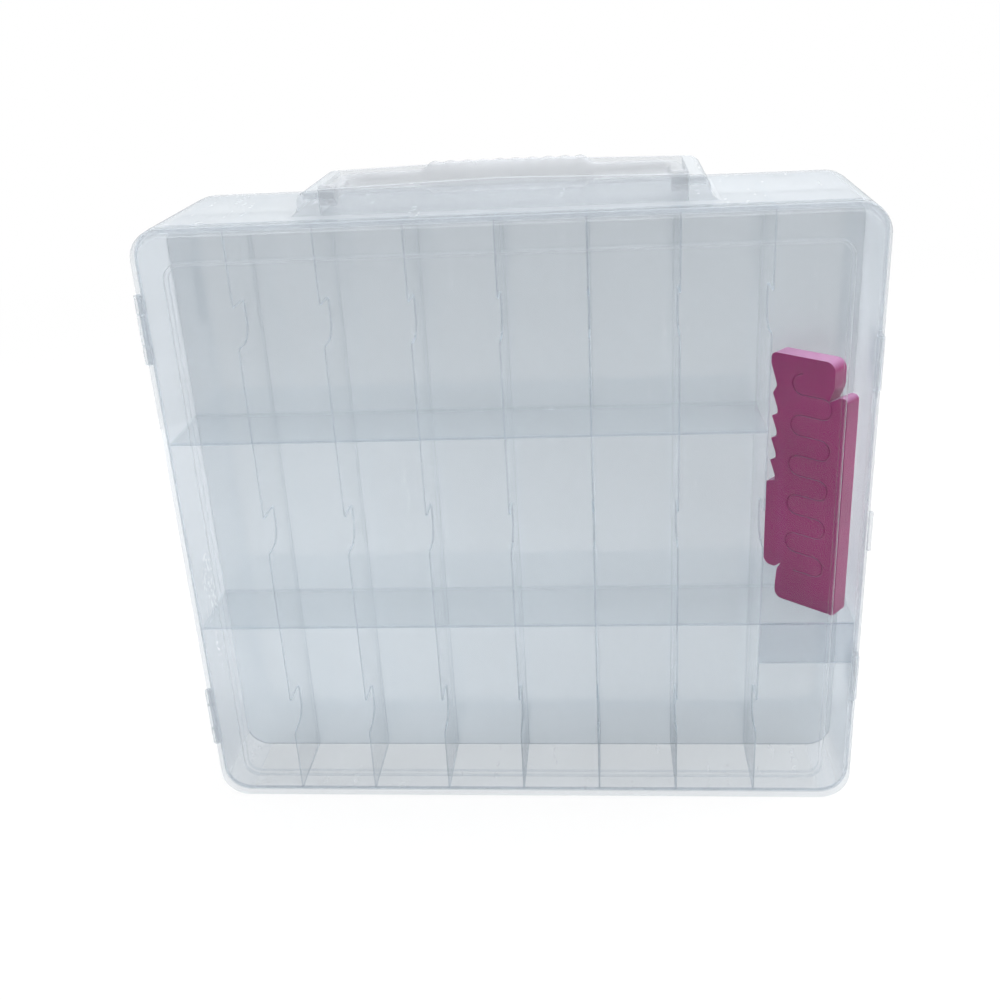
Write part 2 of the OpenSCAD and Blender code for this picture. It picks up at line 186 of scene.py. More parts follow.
def group_tree(
    name: str, inputs: dict[str, object], outputs: dict[str, str]
) -> tuple[Graph, bpy.types.Node]:
    """Start a shader node group with named sockets.

    Args:
        name: the group's name.
        inputs: each input's default value, by name; a float, a colour of four or a vector of three.
        outputs: each output's socket type, by name.

    Returns:
        The group's graph and its input node.
    """
    kinds = {4: "NodeSocketColor", 3: "NodeSocketVector"}
    tree = bpy.data.node_groups.new(name, "ShaderNodeTree")
    for label, value in inputs.items():
        kind = "NodeSocketFloat" if isinstance(value, float) else kinds[len(value)]
        socket = tree.interface.new_socket(label, in_out="INPUT", socket_type=kind)
        socket.default_value = value
    for label, kind in outputs.items():
        tree.interface.new_socket(label, in_out="OUTPUT", socket_type=kind)
    graph = Graph(tree)
    return graph, graph.add("NodeGroupInput")


class MouldedSurface:
    """Shared group: the flow, haze and fine scuffs of an injection-moulded surface."""

    NAME = "moulded_surface"
    FLOW_RANGE = (0.35, 0.65)
    GRAIN_SHARE = 0.05
    STREAK_RANGE = (0.66, 0.74)
    INPUTS = {
        "Vector": (0.0, 0.0, 0.0),
        "Colour": WHITE,
        "Flow Colour": WHITE,
        "Scuff Colour": WHITE,
        "Flow Scale": 9.0,
        "Roughness": 0.2,
        "Roughness Spread": 0.1,
        "Scuffs": 0.2,
    }
    OUTPUTS = {
        "Colour": "NodeSocketColor",
        "Roughness": "NodeSocketFloat",
        "Height": "NodeSocketFloat",
    }

    @classmethod
    def tree(cls) -> bpy.types.NodeTree:
        """Build the group at the first call.

        Returns:
            The group's tree.
        """
        made = bpy.data.node_groups.get(cls.NAME)
        if made is not None:
            return made
        graph, given = group_tree(cls.NAME, cls.INPUTS, cls.OUTPUTS)
        put = given.outputs
        flow = graph.first(
            "ShaderNodeTexNoise",
            {"Vector": put["Vector"], "Scale": put["Flow Scale"], "Detail": 1.0, "Distortion": 0.7},
        )
        flow_mask = graph.ranged(flow, cls.FLOW_RANGE, interpolation_type="SMOOTHSTEP")
        grain = graph.first(
            "ShaderNodeTexNoise", {"Vector": put["Vector"], "Scale": 420.0, "Detail": 0.0}
        )
        stretched = graph.first(
            "ShaderNodeMapping",
            {"Vector": put["Vector"], "Rotation": (0.3, 0.5, 0.2), "Scale": (260.0, 24.0, 11.0)},
        )
        streaks = graph.first(
            "ShaderNodeTexNoise", {"Vector": stretched, "Scale": 1.0, "Detail": 0.0}
        )
        scuffed = graph.maths("MULTIPLY", graph.ranged(streaks, cls.STREAK_RANGE), put["Scuffs"])
        flowing = graph.colour_mix(flow_mask, put["Colour"], put["Flow Colour"])
        coloured = graph.colour_mix(scuffed, flowing, put["Scuff Colour"])
        centred = graph.maths("SUBTRACT", grain, 0.5)
        spread = graph.maths("MULTIPLY", centred, put["Roughness Spread"])
        rough = graph.maths("ADD", graph.maths("ADD", put["Roughness"], spread), scuffed)
        height = graph.maths("ADD", flow, graph.maths("MULTIPLY", grain, cls.GRAIN_SHARE))
        graph.add("NodeGroupOutput", {"Colour": coloured, "Roughness": rough, "Height": height})
        return graph.tree


def start_material(name: str) -> tuple[bpy.types.Material, Graph]:
    """Make an empty node material.

    Args:
        name: the material's name.

    Returns:
        The material and its graph.
    """
    material = bpy.data.materials.new(name)
    material.use_nodes = True
    material.node_tree.nodes.clear()
    return material, Graph(material.node_tree)


def rgba(colour: Colour, gain: float = 1.0) -> tuple[float, float, float, float]:
    """Scale a colour and give it its fourth value."""
    return (*(min(1.0, channel * gain) for channel in colour), 1.0)


@dataclass(frozen=True)
class ClearPlastic:
    """Clear polypropylene: tinted see-through, a thin milky haze, and Fresnel gloss over both.

    Attributes:
        name: the material's name.
        tint: the share of each colour that one surface lets through.
        haze: the colour of the haze.
        cover: how much of the surface the haze covers where it is seen square on.
        blur: how much the plastic blurs what is seen through it.
        roughness: how blurred the gloss is.
        flow: how much paler the haze is along the moulding's flow.
        ripple: the depth of the surface's faint waves, in metres.
        index: the refractive index that sets the strength of the gloss.
        gate: how much paler the haze is painted low down at the left, as painted light from that side.
    """

    name: str
    tint: Colour
    haze: Colour
    cover: float
    blur: float = 0.0
    roughness: float = 0.2
    flow: float = 1.10
    ripple: float = 0.00008
    index: float = 1.42
    # Painted light: the haze is painted paler low down at the left, as if lit from that side.
    gate: float = 1.0

    def material(self) -> bpy.types.Material:
        """Build the material at the first call.

        Returns:
            The material.
        """
        made = bpy.data.materials.get(self.name)
        if made is not None:
            return made
        material, graph = start_material(self.name)
        place = graph.add("ShaderNodeTexCoord").outputs["Object"]
        skin = graph.add(
            "ShaderNodeGroup",
            {
                "Vector": place,
                "Colour": self.gated(graph, place, 1.0),
                "Flow Colour": self.gated(graph, place, self.flow),
                "Scuff Colour": rgba(self.haze, SCUFF_GAIN),
                "Roughness": self.roughness,
                "Scuffs": CLEAR_SCUFFS,
            },
            node_tree=MouldedSurface.tree(),
        ).outputs
        bump = graph.first(
            "ShaderNodeBump", {"Height": skin["Height"], "Distance": self.ripple, "Strength": 1.0}
        )
        colour, rough = skin["Colour"], skin["Roughness"]
        near = graph.first(
            "ShaderNodeBsdfPrincipled",
            {"Base Color": colour, "Roughness": rough, "Normal": bump, "Specular IOR Level": 0.0},
        )
        far = graph.first("ShaderNodeBsdfTranslucent", {"Color": colour, "Normal": bump})
        milk = graph.shader_mix(0.5, near, far)
        body = graph.shader_mix(self.aslant_cover(graph), self.see_through(graph), milk)
        gloss = graph.first("ShaderNodeBsdfAnisotropic", {"Roughness": rough, "Normal": bump})
        backwards = graph.add("ShaderNodeNewGeometry").outputs["Backfacing"]
        index = graph.value_mix(backwards, self.index, 1 / self.index)
        fresnel = graph.first("ShaderNodeFresnel", {"IOR": index, "Normal": bump})
        looked_at = graph.shader_mix(fresnel, body, gloss)
        path = graph.add("ShaderNodeLightPath").outputs
        lighting = graph.maths("MAXIMUM", path["Is Shadow Ray"], path["Is Diffuse Ray"])
        clear = graph.first(
            "ShaderNodeBsdfTransparent", {"Color": rgba(self.tint, 1 - self.cover / 2)}
        )
        surface = graph.shader_mix(lighting, looked_at, clear)
        graph.add("ShaderNodeOutputMaterial", {"Surface": surface})
        return material

    def gated(self, graph: Graph, place: Socket, strength: float) -> Socket:
        """The haze's colour, painted slowly paler towards the lower left as painted light.

        Args:
            graph: the material's graph.
            place: the object's coordinates.
            strength: what the colour is multiplied by.

        Returns:
            The colour.
        """
        # Painted light: the haze pales towards the lower left, as if lit from there.
        way = graph.add("ShaderNodeVectorMath", {0: place, 1: PAINTED_LIGHT_WAY}, operation="DOT_PRODUCT")
        near = graph.ranged(way.outputs["Value"], PAINTED_LIGHT_RANGE)
        return graph.colour_mix(near, rgba(self.haze, strength), rgba(self.haze, strength * self.gate))

    def aslant_cover(self, graph: Graph) -> Socket:
        """The haze's cover, which grows with the length of the way through the wall.

        Args:
            graph: the material's graph.

        Returns:
            The cover.
        """
        slope = graph.add("ShaderNodeLayerWeight", {"Blend": 0.5}).outputs["Facing"]
        square = graph.maths("SUBTRACT", SQUARE_ON, slope)
        clear = graph.maths("POWER", 1 - self.cover, graph.maths("DIVIDE", 1.0, square))
        return graph.maths("SUBTRACT", 1.0, clear)

    def see_through(self, graph: Graph) -> Socket:
        """The clear share of the wall, blurred where the finish asks for it.

        Args:
            graph: the material's graph.

        Returns:
            The shader.
        """
        look = {"Color": rgba(self.tint)}
        if not self.blur:
            return graph.first("ShaderNodeBsdfTransparent", look)
        look.update({"Roughness": self.blur, "IOR": BLUR_INDEX})
        return graph.first("ShaderNodeBsdfRefraction", look)


@dataclass(frozen=True)
class SatinPlastic:
    """Solid coloured plastic with a satin skin, fine pores, paler rubbed patches and painted light on
    the faces that look up.

    Attributes:
        name: the material's name.
        colour: the main colour.
        second: the colour of the slow blotches.
        rubbed: the colour of the scuffs.
        dusty: the paler colour painted on faces that look up, as painted light from above.
        dust: how much of that paler colour those faces get.
        roughness: how blurred the sheen is.
    """

    name: str
    colour: Colour
    second: Colour
    rubbed: Colour
    dusty: Colour
    dust: float = 0.6
    roughness: float = 0.5

    def material(self) -> bpy.types.Material:
        """Build the material at the first call.

        Returns:
            The material.
        """
        made = bpy.data.materials.get(self.name)
        if made is not None:
            return made
        material, graph = start_material(self.name)
        place = graph.add("ShaderNodeTexCoord").outputs
        skin = graph.add(
            "ShaderNodeGroup",
            {
                "Vector": place["Object"],
                "Colour": rgba(self.colour),
                "Flow Colour": rgba(self.second),
                "Scuff Colour": rgba(self.rubbed),
                "Flow Scale": 30.0,
                "Roughness": self.roughness,
            },
            node_tree=MouldedSurface.tree(),
        ).outputs
        axes = graph.add("ShaderNodeSeparateXYZ", {"Vector": place["Normal"]})
        # Painted light: faces that look up are painted paler, as if lit from above.
        upward = graph.ranged(axes.outputs["Z"], TOP_LIGHT_SLOPES, (0.0, self.dust))
        pores = graph.add("ShaderNodeTexVoronoi", {"Vector": place["Object"], "Scale": 900.0})
        relief = graph.maths("MULTIPLY", pores.outputs["Distance"], 0.3)
        height = graph.maths("ADD", relief, skin["Height"])
        body = graph.first(
            "ShaderNodeBsdfPrincipled",
            {
                "Base Color": graph.colour_mix(upward, skin["Colour"], rgba(self.dusty)),
                "Roughness": skin["Roughness"],
                "Normal": graph.first(
                    "ShaderNodeBump", {"Height": height, "Distance": 0.00015, "Strength": 0.6}
                ),
                "IOR": 1.45,
                "Specular IOR Level": 0.25,
                "Sheen Weight": 0.4,
                "Sheen Roughness": 0.4,
            },
        )
        graph.add("ShaderNodeOutputMaterial", {"Surface": body})
        return material


WALL_FINISH = ClearPlastic("wall_plastic", (0.972, 0.978, 0.984), (0.68, 0.72, 0.76), 0.25)
RIM_FINISH = ClearPlastic("rim_plastic", (0.955, 0.965, 0.975), (0.74, 0.79, 0.84), 0.22)
# Painted light: the seat's haze is paler than the walls', as if the top of the box is lit from above.
SEAT_FINISH = ClearPlastic("seat_plastic", (0.975, 0.98, 0.985), (0.76, 0.80, 0.84), 0.27)
PLATE_FINISH = ClearPlastic(
    "plate_plastic", (0.993, 0.995, 0.996), (0.88, 0.91, 0.93), 0.02, index=1.08
)
SHELF_FINISH = ClearPlastic(
    "shelf_plastic", (0.968, 0.977, 0.983), (0.68, 0.74, 0.78), 0.08, index=1.08
)
PLATE_EDGE_FINISH = ClearPlastic(
    "plate_edge_plastic", (0.91, 0.935, 0.955), (0.56, 0.64, 0.71), 0.28, index=1.15
)
PLATE_ROOT_FINISH = ClearPlastic(
    "plate_root_plastic", (0.985, 0.99, 0.993), (0.68, 0.74, 0.80), 0.10
)
LIP_FINISH = ClearPlastic("lip_plastic", (0.93, 0.945, 0.96), (0.55, 0.61, 0.67), 0.16)
# Painted light: the web's haze is painted paler at the lower left, as if lit from that side.
WEB_FINISH = ClearPlastic(
    "web_plastic", (0.957, 0.962, 0.968), (0.64, 0.68, 0.71), 0.48, 0.22, flow=1.02, gate=1.37
)
LID_FINISH = ClearPlastic(
    "lid_plastic", (0.945, 0.954, 0.962), (0.74, 0.79, 0.83), 0.016, index=1.26
)
BEAD_FINISH = ClearPlastic("bead_plastic", (0.955, 0.963, 0.972), (0.72, 0.77, 0.81), 0.24)
LATCH_FINISH = ClearPlastic("latch_plastic", (0.95, 0.957, 0.965), (0.74, 0.79, 0.83), 0.18)
HANDLE_FINISH = ClearPlastic("handle_plastic", (0.95, 0.955, 0.96), (0.72, 0.74, 0.77), 0.20)
PIN_FINISH = ClearPlastic("pin_plastic", (0.95, 0.957, 0.965), (0.76, 0.80, 0.83), 0.25)
COMB_FINISH = SatinPlastic(
    "raspberry_plastic",
    colour=(0.34, 0.005, 0.138),
    second=(0.31, 0.004, 0.125),
    rubbed=(0.42, 0.05, 0.23),
    # Painted light from above: the paler colour of faces that look up.
    dusty=(0.62, 0.36, 0.58),
)


# Mesh helpers


def moved(x: float, y: float, z: float) -> Matrix:
    """A move by the given lengths."""
    return Matrix.Translation((x, y, z))


def upright(y: float, middle_z: float) -> Matrix:
    """Carry a flat outline to an upright plane at a depth, with its middle at a height."""
    return moved(0, y, middle_z) @ Matrix.Rotation(RIGHT_ANGLE, 4, "X")


def round_corners(bm: Mesh, verts: list[Vert], radius: float, steps: int = CORNER_STEPS) -> None:
    """Round corners of a flat outline.

    Args:
        bm: the mesh.
        verts: the corners.
        radius: their radius.
        steps: the faces of each.
    """
    bmesh.ops.bevel(
        bm,
        geom=verts,
        offset=radius,
        segments=steps,
        profile=0.5,
        affect="VERTICES",
        material=-1,
    )


def soften(bm: Mesh, edges: list[Edge], width: float, steps: int = EDGE_STEPS) -> None:
    """Round the given edges.

    Args:
        bm: the mesh.
        edges: the edges to round.
        width: the width of the rounding.
        steps: its faces.
    """
    bmesh.ops.bevel(
        bm,
        geom=edges,
        offset=width,
        segments=steps,
        profile=0.5,
        affect="EDGES",
        material=-1,
        clamp_overlap=True,
    )


def thicken(bm: Mesh, face: Face, way: Point) -> None:
    """Grow a flat face into a solid.

    Args:
        bm: the mesh.
        face: the face.
        way: how far and where to its copy is moved.
    """
    grown = bmesh.ops.extrude_face_region(bm, geom=[face])["geom"]
    bmesh.ops.translate(bm, verts=[item for item in grown if isinstance(item, Vert)], vec=way)


def pull(bm: Mesh, loop: list[Edge], way: Point) -> list[Edge]:
    """Draw an open end out.

    Args:
        bm: the mesh.
        loop: the edges of the end.
        way: how far and where to.

    Returns:
        The edges of the new end.
    """
    grown = bmesh.ops.extrude_edge_only(bm, edges=loop)["geom"]
    verts = [item for item in grown if isinstance(item, Vert)]
    bmesh.ops.translate(bm, verts=verts, vec=way)
    return [
        item for item in grown if isinstance(item, Edge) and all(v in verts for v in item.verts)
    ]


def swing(
    bm: Mesh, loop: list[Edge], centre: Point, axis: Point, angle: float, steps: int
) -> list[Edge]:
    """Swing an open end round an axis.

    Args:
        bm: the mesh.
        loop: the edges of the end.
        centre: a point on the axis.
        axis: the axis's direction.
        angle: how far it turns, in radians.
        steps: the bands of the bend.

    Returns:
        The edges of the new end.
    """
    spun = bmesh.ops.spin(
        bm, geom=loop, cent=centre, axis=axis, angle=angle, steps=steps, use_duplicate=False
    )["geom_last"]
    return [item for item in spun if isinstance(item, Edge)]


def add_ring(bm: Mesh, radius: float, sides: int, place: Matrix, filled: bool = False) -> list[Edge]:
    """Add a circle.

    Args:
        bm: the mesh to add to.
        radius: its radius.
        sides: its edges.
        place: carries the flat circle to its place.
        filled: whether it has a face.

    Returns:
        Its edges.
    """
    verts = bmesh.ops.create_circle(
        bm, cap_ends=filled, segments=sides, radius=radius, matrix=place
    )["verts"]
    return list({edge for vert in verts for edge in vert.link_edges})


def rounded_face(
    bm: Mesh, width: float, height: float, radius: float, place: Matrix, steps: int = CORNER_STEPS
) -> Face:
    """Add a rectangle with round corners.

    Args:
        bm: the mesh to add to.
        width: the size along the rectangle's own X.
        height: the size along its own Y.
        radius: the corner radius.
        place: carries the flat rectangle to its place.
        steps: the faces of each round corner.

    Returns:
        The new face.
    """
    before = set(bm.faces)
    verts = bmesh.ops.create_grid(bm, x_segments=1, y_segments=1, size=0.5)["verts"]
    bmesh.ops.scale(bm, verts=verts, vec=(width, height, 1.0))
    round_corners(bm, verts, radius, steps)
    face = next(found for found in bm.faces if found not in before)
    bmesh.ops.transform(bm, matrix=place, verts=face.verts)
    return face


def open_loop(bm: Mesh, face: Face) -> list[Edge]:
    """Remove a face and keep its outline.

    Args:
        bm: the mesh.
        face: the face to remove.

    Returns:
        The outline's edges.
    """
    edges = list(face.edges)
    bmesh.ops.delete(bm, geom=[face], context="FACES_ONLY")
    return edges


def bridge(bm: Mesh, first: list[Edge], second: list[Edge]) -> list[Face]:
    """Join two outlines with a band of faces and return the faces."""
    return bmesh.ops.bridge_loops(bm, edges=first + second)["faces"]


@dataclass(frozen=True)
class Station:
    """One outline of a frame that is built up in steps.

    Attributes:
        inset: how far the outline lies inside the frame's own outline.
        y: its place in depth.
        slot: the material of the band that leads to it.
        corner: its corner radius, or nothing where it follows from the inset.
    """

    inset: float
    y: float
    slot: int = 0
    corner: float | None = None


@dataclass(frozen=True)
class Outline:
    """The upright rounded rectangle that a stepped shell follows.

    Attributes:
        width: its width at no inset.
        height: its height at no inset.
        radius: its corner radius at no inset.
        middle_z: the height of its middle.
    """

    width: float
    height: float
    radius: float
    middle_z: float

    def face(self, bm: Mesh, station: Station) -> Face:
        """Add the outline at one station as a face.

        Args:
            bm: the mesh to add to.
            station: the station.

        Returns:
            The new face.
        """
        radius = self.radius - station.inset if station.corner is None else station.corner
        return rounded_face(
            bm,
            self.width - 2 * station.inset,
            self.height - 2 * station.inset,
            radius,
            upright(station.y, self.middle_z),
        )


def stepped_shell(bm: Mesh, outline: Outline, stations: list[Station], closed: bool) -> None:
    """Build a shell through a row of rounded outlines.

    Args:
        bm: the mesh to add to.
        outline: the rounded rectangle that they follow.
        stations: the steps, in order.
        closed: whether the last outline joins the first; otherwise both ends are filled.
    """
    pairs = list(zip(stations, stations[1:]))
    if closed:
        pairs.append((stations[-1], stations[0]))
    for first, second in pairs:
        start = open_loop(bm, outline.face(bm, first))
        end = open_loop(bm, outline.face(bm, second))
        for face in bridge(bm, start, end):
            face.material_index = second.slot
    if not closed:
        for station in (stations[0], stations[-1]):
            outline.face(bm, station)
    bmesh.ops.remove_doubles(bm, verts=bm.verts, dist=SAME_PLACE)


def painted(verts: list[Vert], slot: int) -> list[Vert]:
    """Give the faces at some vertices a material.

    Args:
        verts: the vertices.
        slot: the material's number.

    Returns:
        The same vertices.
    """
    for face in {face for vert in verts for face in vert.link_faces}:
        face.material_index = slot
    return verts


def add_block(bm: Mesh, low: Point, high: Point, slot: int = 0) -> list[Vert]:
    """Add a block between two corners.

    Args:
        bm: the mesh to add to.
        low: its lowest corner.
        high: its highest corner.
        slot: its material.

    Returns:
        Its vertices.
    """
    size = Vector(high) - Vector(low)
    middle = (Vector(high) + Vector(low)) / 2
    place = Matrix.Translation(middle) @ Matrix.Diagonal((*size, 1.0))
    return painted(bmesh.ops.create_cube(bm, size=1.0, matrix=place)["verts"], slot)


def add_rod(
    bm: Mesh, start: Point, end: Point, radius: float, sides: int = KNUCKLE_SIDES, slot: int = 0
) -> list[Vert]:
    """Add a round rod with flat ends.

    Args:
        bm: the mesh to add to.
        start: the middle of one end.
        end: the middle of the other.
        radius: the rod's radius.
        sides: the faces round it.
        slot: its material.

    Returns:
        Its vertices.
    """
    along = Vector(end) - Vector(start)
    turn = along.to_track_quat("Z", "Y").to_matrix().to_4x4()
    place = Matrix.Translation((Vector(start) + Vector(end)) / 2) @ turn
    verts = bmesh.ops.create_cone(
        bm,
        cap_ends=True,
        segments=sides,
        radius1=radius,
        radius2=radius,
        depth=along.length,
        matrix=place,
    )["verts"]
    return painted(verts, slot)


def as_mesh(bm: Mesh, name: str) -> bpy.types.Mesh:
    """Turn a mesh under construction, which is used up, into mesh data.

    Args:
        bm: the mesh.
        name: the data's name.

    Returns:
        The mesh data.
    """
    data = bpy.data.meshes.new(name)
    bm.to_mesh(data)
    bm.free()
    return data


def as_object(name: str, data: bpy.types.ID) -> bpy.types.Object:
    """Make an object of its data and put it in the scene.

    Args:
        name: the object's name.
        data: its mesh, lamp or camera data.

    Returns:
        The object.
    """
    made = bpy.data.objects.new(name, data)
    bpy.context.scene.collection.objects.link(made)
    return made


@dataclass
class Piece:
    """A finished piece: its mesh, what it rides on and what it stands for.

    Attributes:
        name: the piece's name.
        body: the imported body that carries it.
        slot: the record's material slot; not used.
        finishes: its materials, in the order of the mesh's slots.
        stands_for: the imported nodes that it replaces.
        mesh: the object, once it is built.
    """

    name: str
    body: str
    slot: str
    finishes: tuple[ClearPlastic | SatinPlastic, ...]
    stands_for: tuple[str, ...] = ()
    mesh: bpy.types.Object | None = field(default=None, init=False)

    def build(self, bm: Mesh, smooth_below: float = 32.0) -> None:
        """Turn a mesh under construction into an object with its materials.

        Args:
            bm: the mesh, which is used up.
            smooth_below: edges flatter than this many degrees are shaded smooth.
        """
        bmesh.ops.remove_doubles(bm, verts=bm.verts, dist=SAME_PLACE)
        bmesh.ops.recalc_face_normals(bm, faces=bm.faces)
        self.mesh = as_object(self.name, as_mesh(bm, self.name))
        self.paint(self.mesh.data)
        self.shade(smooth_below)

    def paint(self, data: bpy.types.Mesh) -> None:
        """Give mesh data the piece's materials, in their order."""
        for finish in self.finishes:
            data.materials.append(finish.material())

    def shade(self, smooth_below: float) -> None:
        """Shade the mesh smooth up to an angle in degrees."""
        self.mesh.data.shade_smooth()
        self.mesh.data.set_sharp_from_angle(angle=math.radians(smooth_below))

    def carve(self, bm: Mesh, smooth_below: float = 32.0) -> None:
        """Cut a closed shape out of the piece.

        Args:
            bm: the shape to cut, which is used up.
            smooth_below: edges flatter than this many degrees are shaded smooth.
        """
        bmesh.ops.recalc_face_normals(bm, faces=bm.faces)
        cutter = as_object("cutter", as_mesh(bm, "cutter"))
        self.paint(cutter.data)
        cut = self.mesh.modifiers.new("cut", "BOOLEAN")
        cut.operation = "DIFFERENCE"
        cut.solver = "EXACT"
        cut.object = cutter
        bpy.context.view_layer.update()
        graph = bpy.context.evaluated_depsgraph_get()
        result = bpy.data.meshes.new_from_object(self.mesh.evaluated_get(graph))
        self.mesh.modifiers.clear()
        old = self.mesh.data
        self.mesh.data = result
        bpy.data.meshes.remove(old)
        bpy.data.objects.remove(cutter)
        self.mesh.data.name = self.name
        self.shade(smooth_below)

    def deliver(self) -> None:
        """Even out its shading, hand it to its body and its nodes, and report it."""
        even = self.mesh.modifiers.new("even_shading", "WEIGHTED_NORMAL")
        even.keep_sharp = True
        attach(self.mesh, self.body)
        if self.stands_for:
            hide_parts(*self.stands_for)
        log.info("%s: %d faces on %s", self.name, len(self.mesh.data.polygons), self.body)

    def complete(self, bm: Mesh, smooth_below: float = 32.0) -> None:
        """Build the piece from a mesh that needs no cuts, and deliver it."""
        self.build(bm, smooth_below)
        self.deliver()


def mirrored(bm: Mesh, side: Side) -> None:
    """Carry a shape made for the front to the given side of the web."""
    if side is Side.REAR:
        bmesh.ops.scale(bm, verts=bm.verts, vec=(1.0, -1.0, 1.0))


# The box


@dataclass
class BoxSizes:
    """The sizes that the sub-assemblies share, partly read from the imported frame."""

    wall: float = 3.0 * MM
    corner_r: float = 16.0 * MM
    rebate_step: float = 1.7 * MM
    rebate_d: float = 3.0 * MM
    lid_inset: float = 0.25 * MM
    hinge_offset: float = 116 * MM
    hinge_len: float = 36 * MM
    case_knuckle_len: float = 16 * MM
    knuckle_r: float = 2.6 * MM
    knuckle_gap: float = 0.3 * MM
    knuckle_lip: float = 0.3 * MM
    bore_r: float = 1.25 * MM
    latch_offset: float = 89 * MM
    latch_len: float = 27 * MM
    latch_gap: float = 0.35 * MM
    barrel_r: float = 1.8 * MM

    def __post_init__(self) -> None:
        """Read the case's inner size, the mouth and the pins' places."""
        web_low, web_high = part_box("centre_web")
        pin_low, pin_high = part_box("front_hinge_pins")
        rod_low, rod_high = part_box("front_latch_pins")
        self.inner_w = web_high.x - web_low.x
        self.inner_h = web_high.z - web_low.z
        self.web_t = web_high.y - web_low.y
        self.case_w = self.inner_w + 2 * self.wall
        self.case_h = self.inner_h + 2 * self.wall
        self.middle_z = (web_low.z + web_high.z) / 2
        self.tray_d = -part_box("front_divider_1")[0].y
        self.hinge_x = (pin_low.x + pin_high.x) / 2
        self.hinge_y = (pin_low.y + pin_high.y) / 2
        self.latch_x = (rod_low.x + rod_high.x) / 2
        self.latch_y = (rod_low.y + rod_high.y) / 2

    def heights(self, offset: float) -> list[float]:
        """The two heights that lie as far below and above the middle."""
        return [self.middle_z - offset, self.middle_z + offset]

    def knuckle_rows(self, own: bool) -> list[tuple[float, float]]:
        """The lower and upper ends of the knuckles of one side.

        Args:
            own: whether the case's own knuckles are asked for, or else the lid's.

        Returns:
            The ends of each knuckle.
        """
        rows = []
        for height in self.heights(self.hinge_offset):
            half = self.hinge_len / 2
            own_half = self.case_knuckle_len / 2
            if own:
                rows.append((height - own_half, height + own_half))
            else:
                inner = own_half + self.knuckle_gap
                rows.append((height - half, height - inner))
                rows.append((height + inner, height + half))
        return rows

    def add_knuckle_rooms(self, bm: Mesh, own: bool) -> None:
        """Add the room round the knuckles of one side to a cutter.

        Args:
            bm: the cutter.
            own: whether the case's own knuckles are meant, or else the lid's.
        """
        room = self.knuckle_gap
        for low, high in self.knuckle_rows(own):
            start = (self.hinge_x, self.hinge_y, low - room)
            end = (self.hinge_x, self.hinge_y, high + room)
            add_rod(bm, start, end, self.knuckle_r + room)


@dataclass
class CaseRing:
    """The case's four outer walls in one ring, with its rims, knuckles and latch pockets."""

    sizes: BoxSizes
    rim_round: float = 0.35 * MM
    pocket_end: float = 24.4 * MM
    pocket_r: float = 2.2 * MM
    past: float = 2 * MM
    ridge_len: float = 16 * MM
    ridge_r: float = 0.6 * MM
    ridge_rise: float = 0.3 * MM
    ridge_back: float = 14 * MM

    def stations(self) -> list[Station]:
        """Lay out the ring's section, from the front rim back and round again.

        Returns:
            Its outlines.
        """
        s, r = self.sizes, self.rim_round
        step, mouth, back = s.rebate_step, s.tray_d, s.tray_d - s.rebate_d
        half = [
            (0.0, -back + r, 0),
            (r, -back, 1),
            (step, -back, 1),
            (step, -mouth + r, 1),
            (step + r, -mouth, 1),
            (s.wall - r, -mouth, 1),
            (s.wall, -mouth + r, 1),
        ]
        front = [Station(inset, y, slot) for inset, y, slot in half]
        rear = [Station(inset, -y, slot) for inset, y, slot in reversed(half)]
        rear[0] = Station(s.wall, mouth - r, 0)
        return front + rear

    def pockets(self, side: Side) -> Mesh:
        """The cutter of the latch pockets and of the room round the lid's knuckles.

        Args:
            side: the side of the box.

        Returns:
            The cutter.
        """
        s = self.sizes
        bm = bmesh.new()
        for height in s.heights(s.latch_offset):
            half = s.latch_len / 2 + s.latch_gap
            verts = add_block(
                bm,
                (s.case_w / 2 - s.rebate_step, -s.tray_d - self.past, height - half),
                (s.case_w / 2 + self.past, -self.pocket_end, height + half),
            )
            far = [
                edge
                for edge in bm.edges
                if all(v in verts and v.co.y > -self.pocket_end - MM for v in edge.verts)
                and abs(edge.verts[0].co.x - edge.verts[1].co.x) > MM
            ]
            soften(bm, far, self.pocket_r, steps=5)
        s.add_knuckle_rooms(bm, own=False)
        mirrored(bm, side)
        return bm

    def build(self) -> None:
        """Build the ring."""
        s = self.sizes
        finishes = (WALL_FINISH, RIM_FINISH)
        piece = Piece("case_ring", "case", "clear_case", finishes, ("case_frame",))
        bm = bmesh.new()
        outline = Outline(s.case_w, s.case_h, s.corner_r, s.middle_z)
        stepped_shell(bm, outline, self.stations(), closed=True)
        piece.build(bm)
        for side in Side:
            piece.carve(self.pockets(side))
        piece.deliver()

    def build_trim(self) -> None:
        """Build the case's own knuckles and the snap ridges in the pockets."""
        s = self.sizes
        bm = bmesh.new()
        x = s.case_w / 2 - s.rebate_step - self.ridge_r + self.ridge_rise
        half = self.ridge_len / 2
        for side in Side:
            for low, high in s.knuckle_rows(own=True):
                add_knuckle(bm, s, side, low, high)
            y = (s.latch_y + self.ridge_back) * -side.value
            for height in s.heights(s.latch_offset):
                add_rod(bm, (x, y, height - half), (x, y, height + half), self.ridge_r, sides=16)
        Piece("case_knuckles", "case", "clear_case", (RIM_FINISH,)).complete(bm)


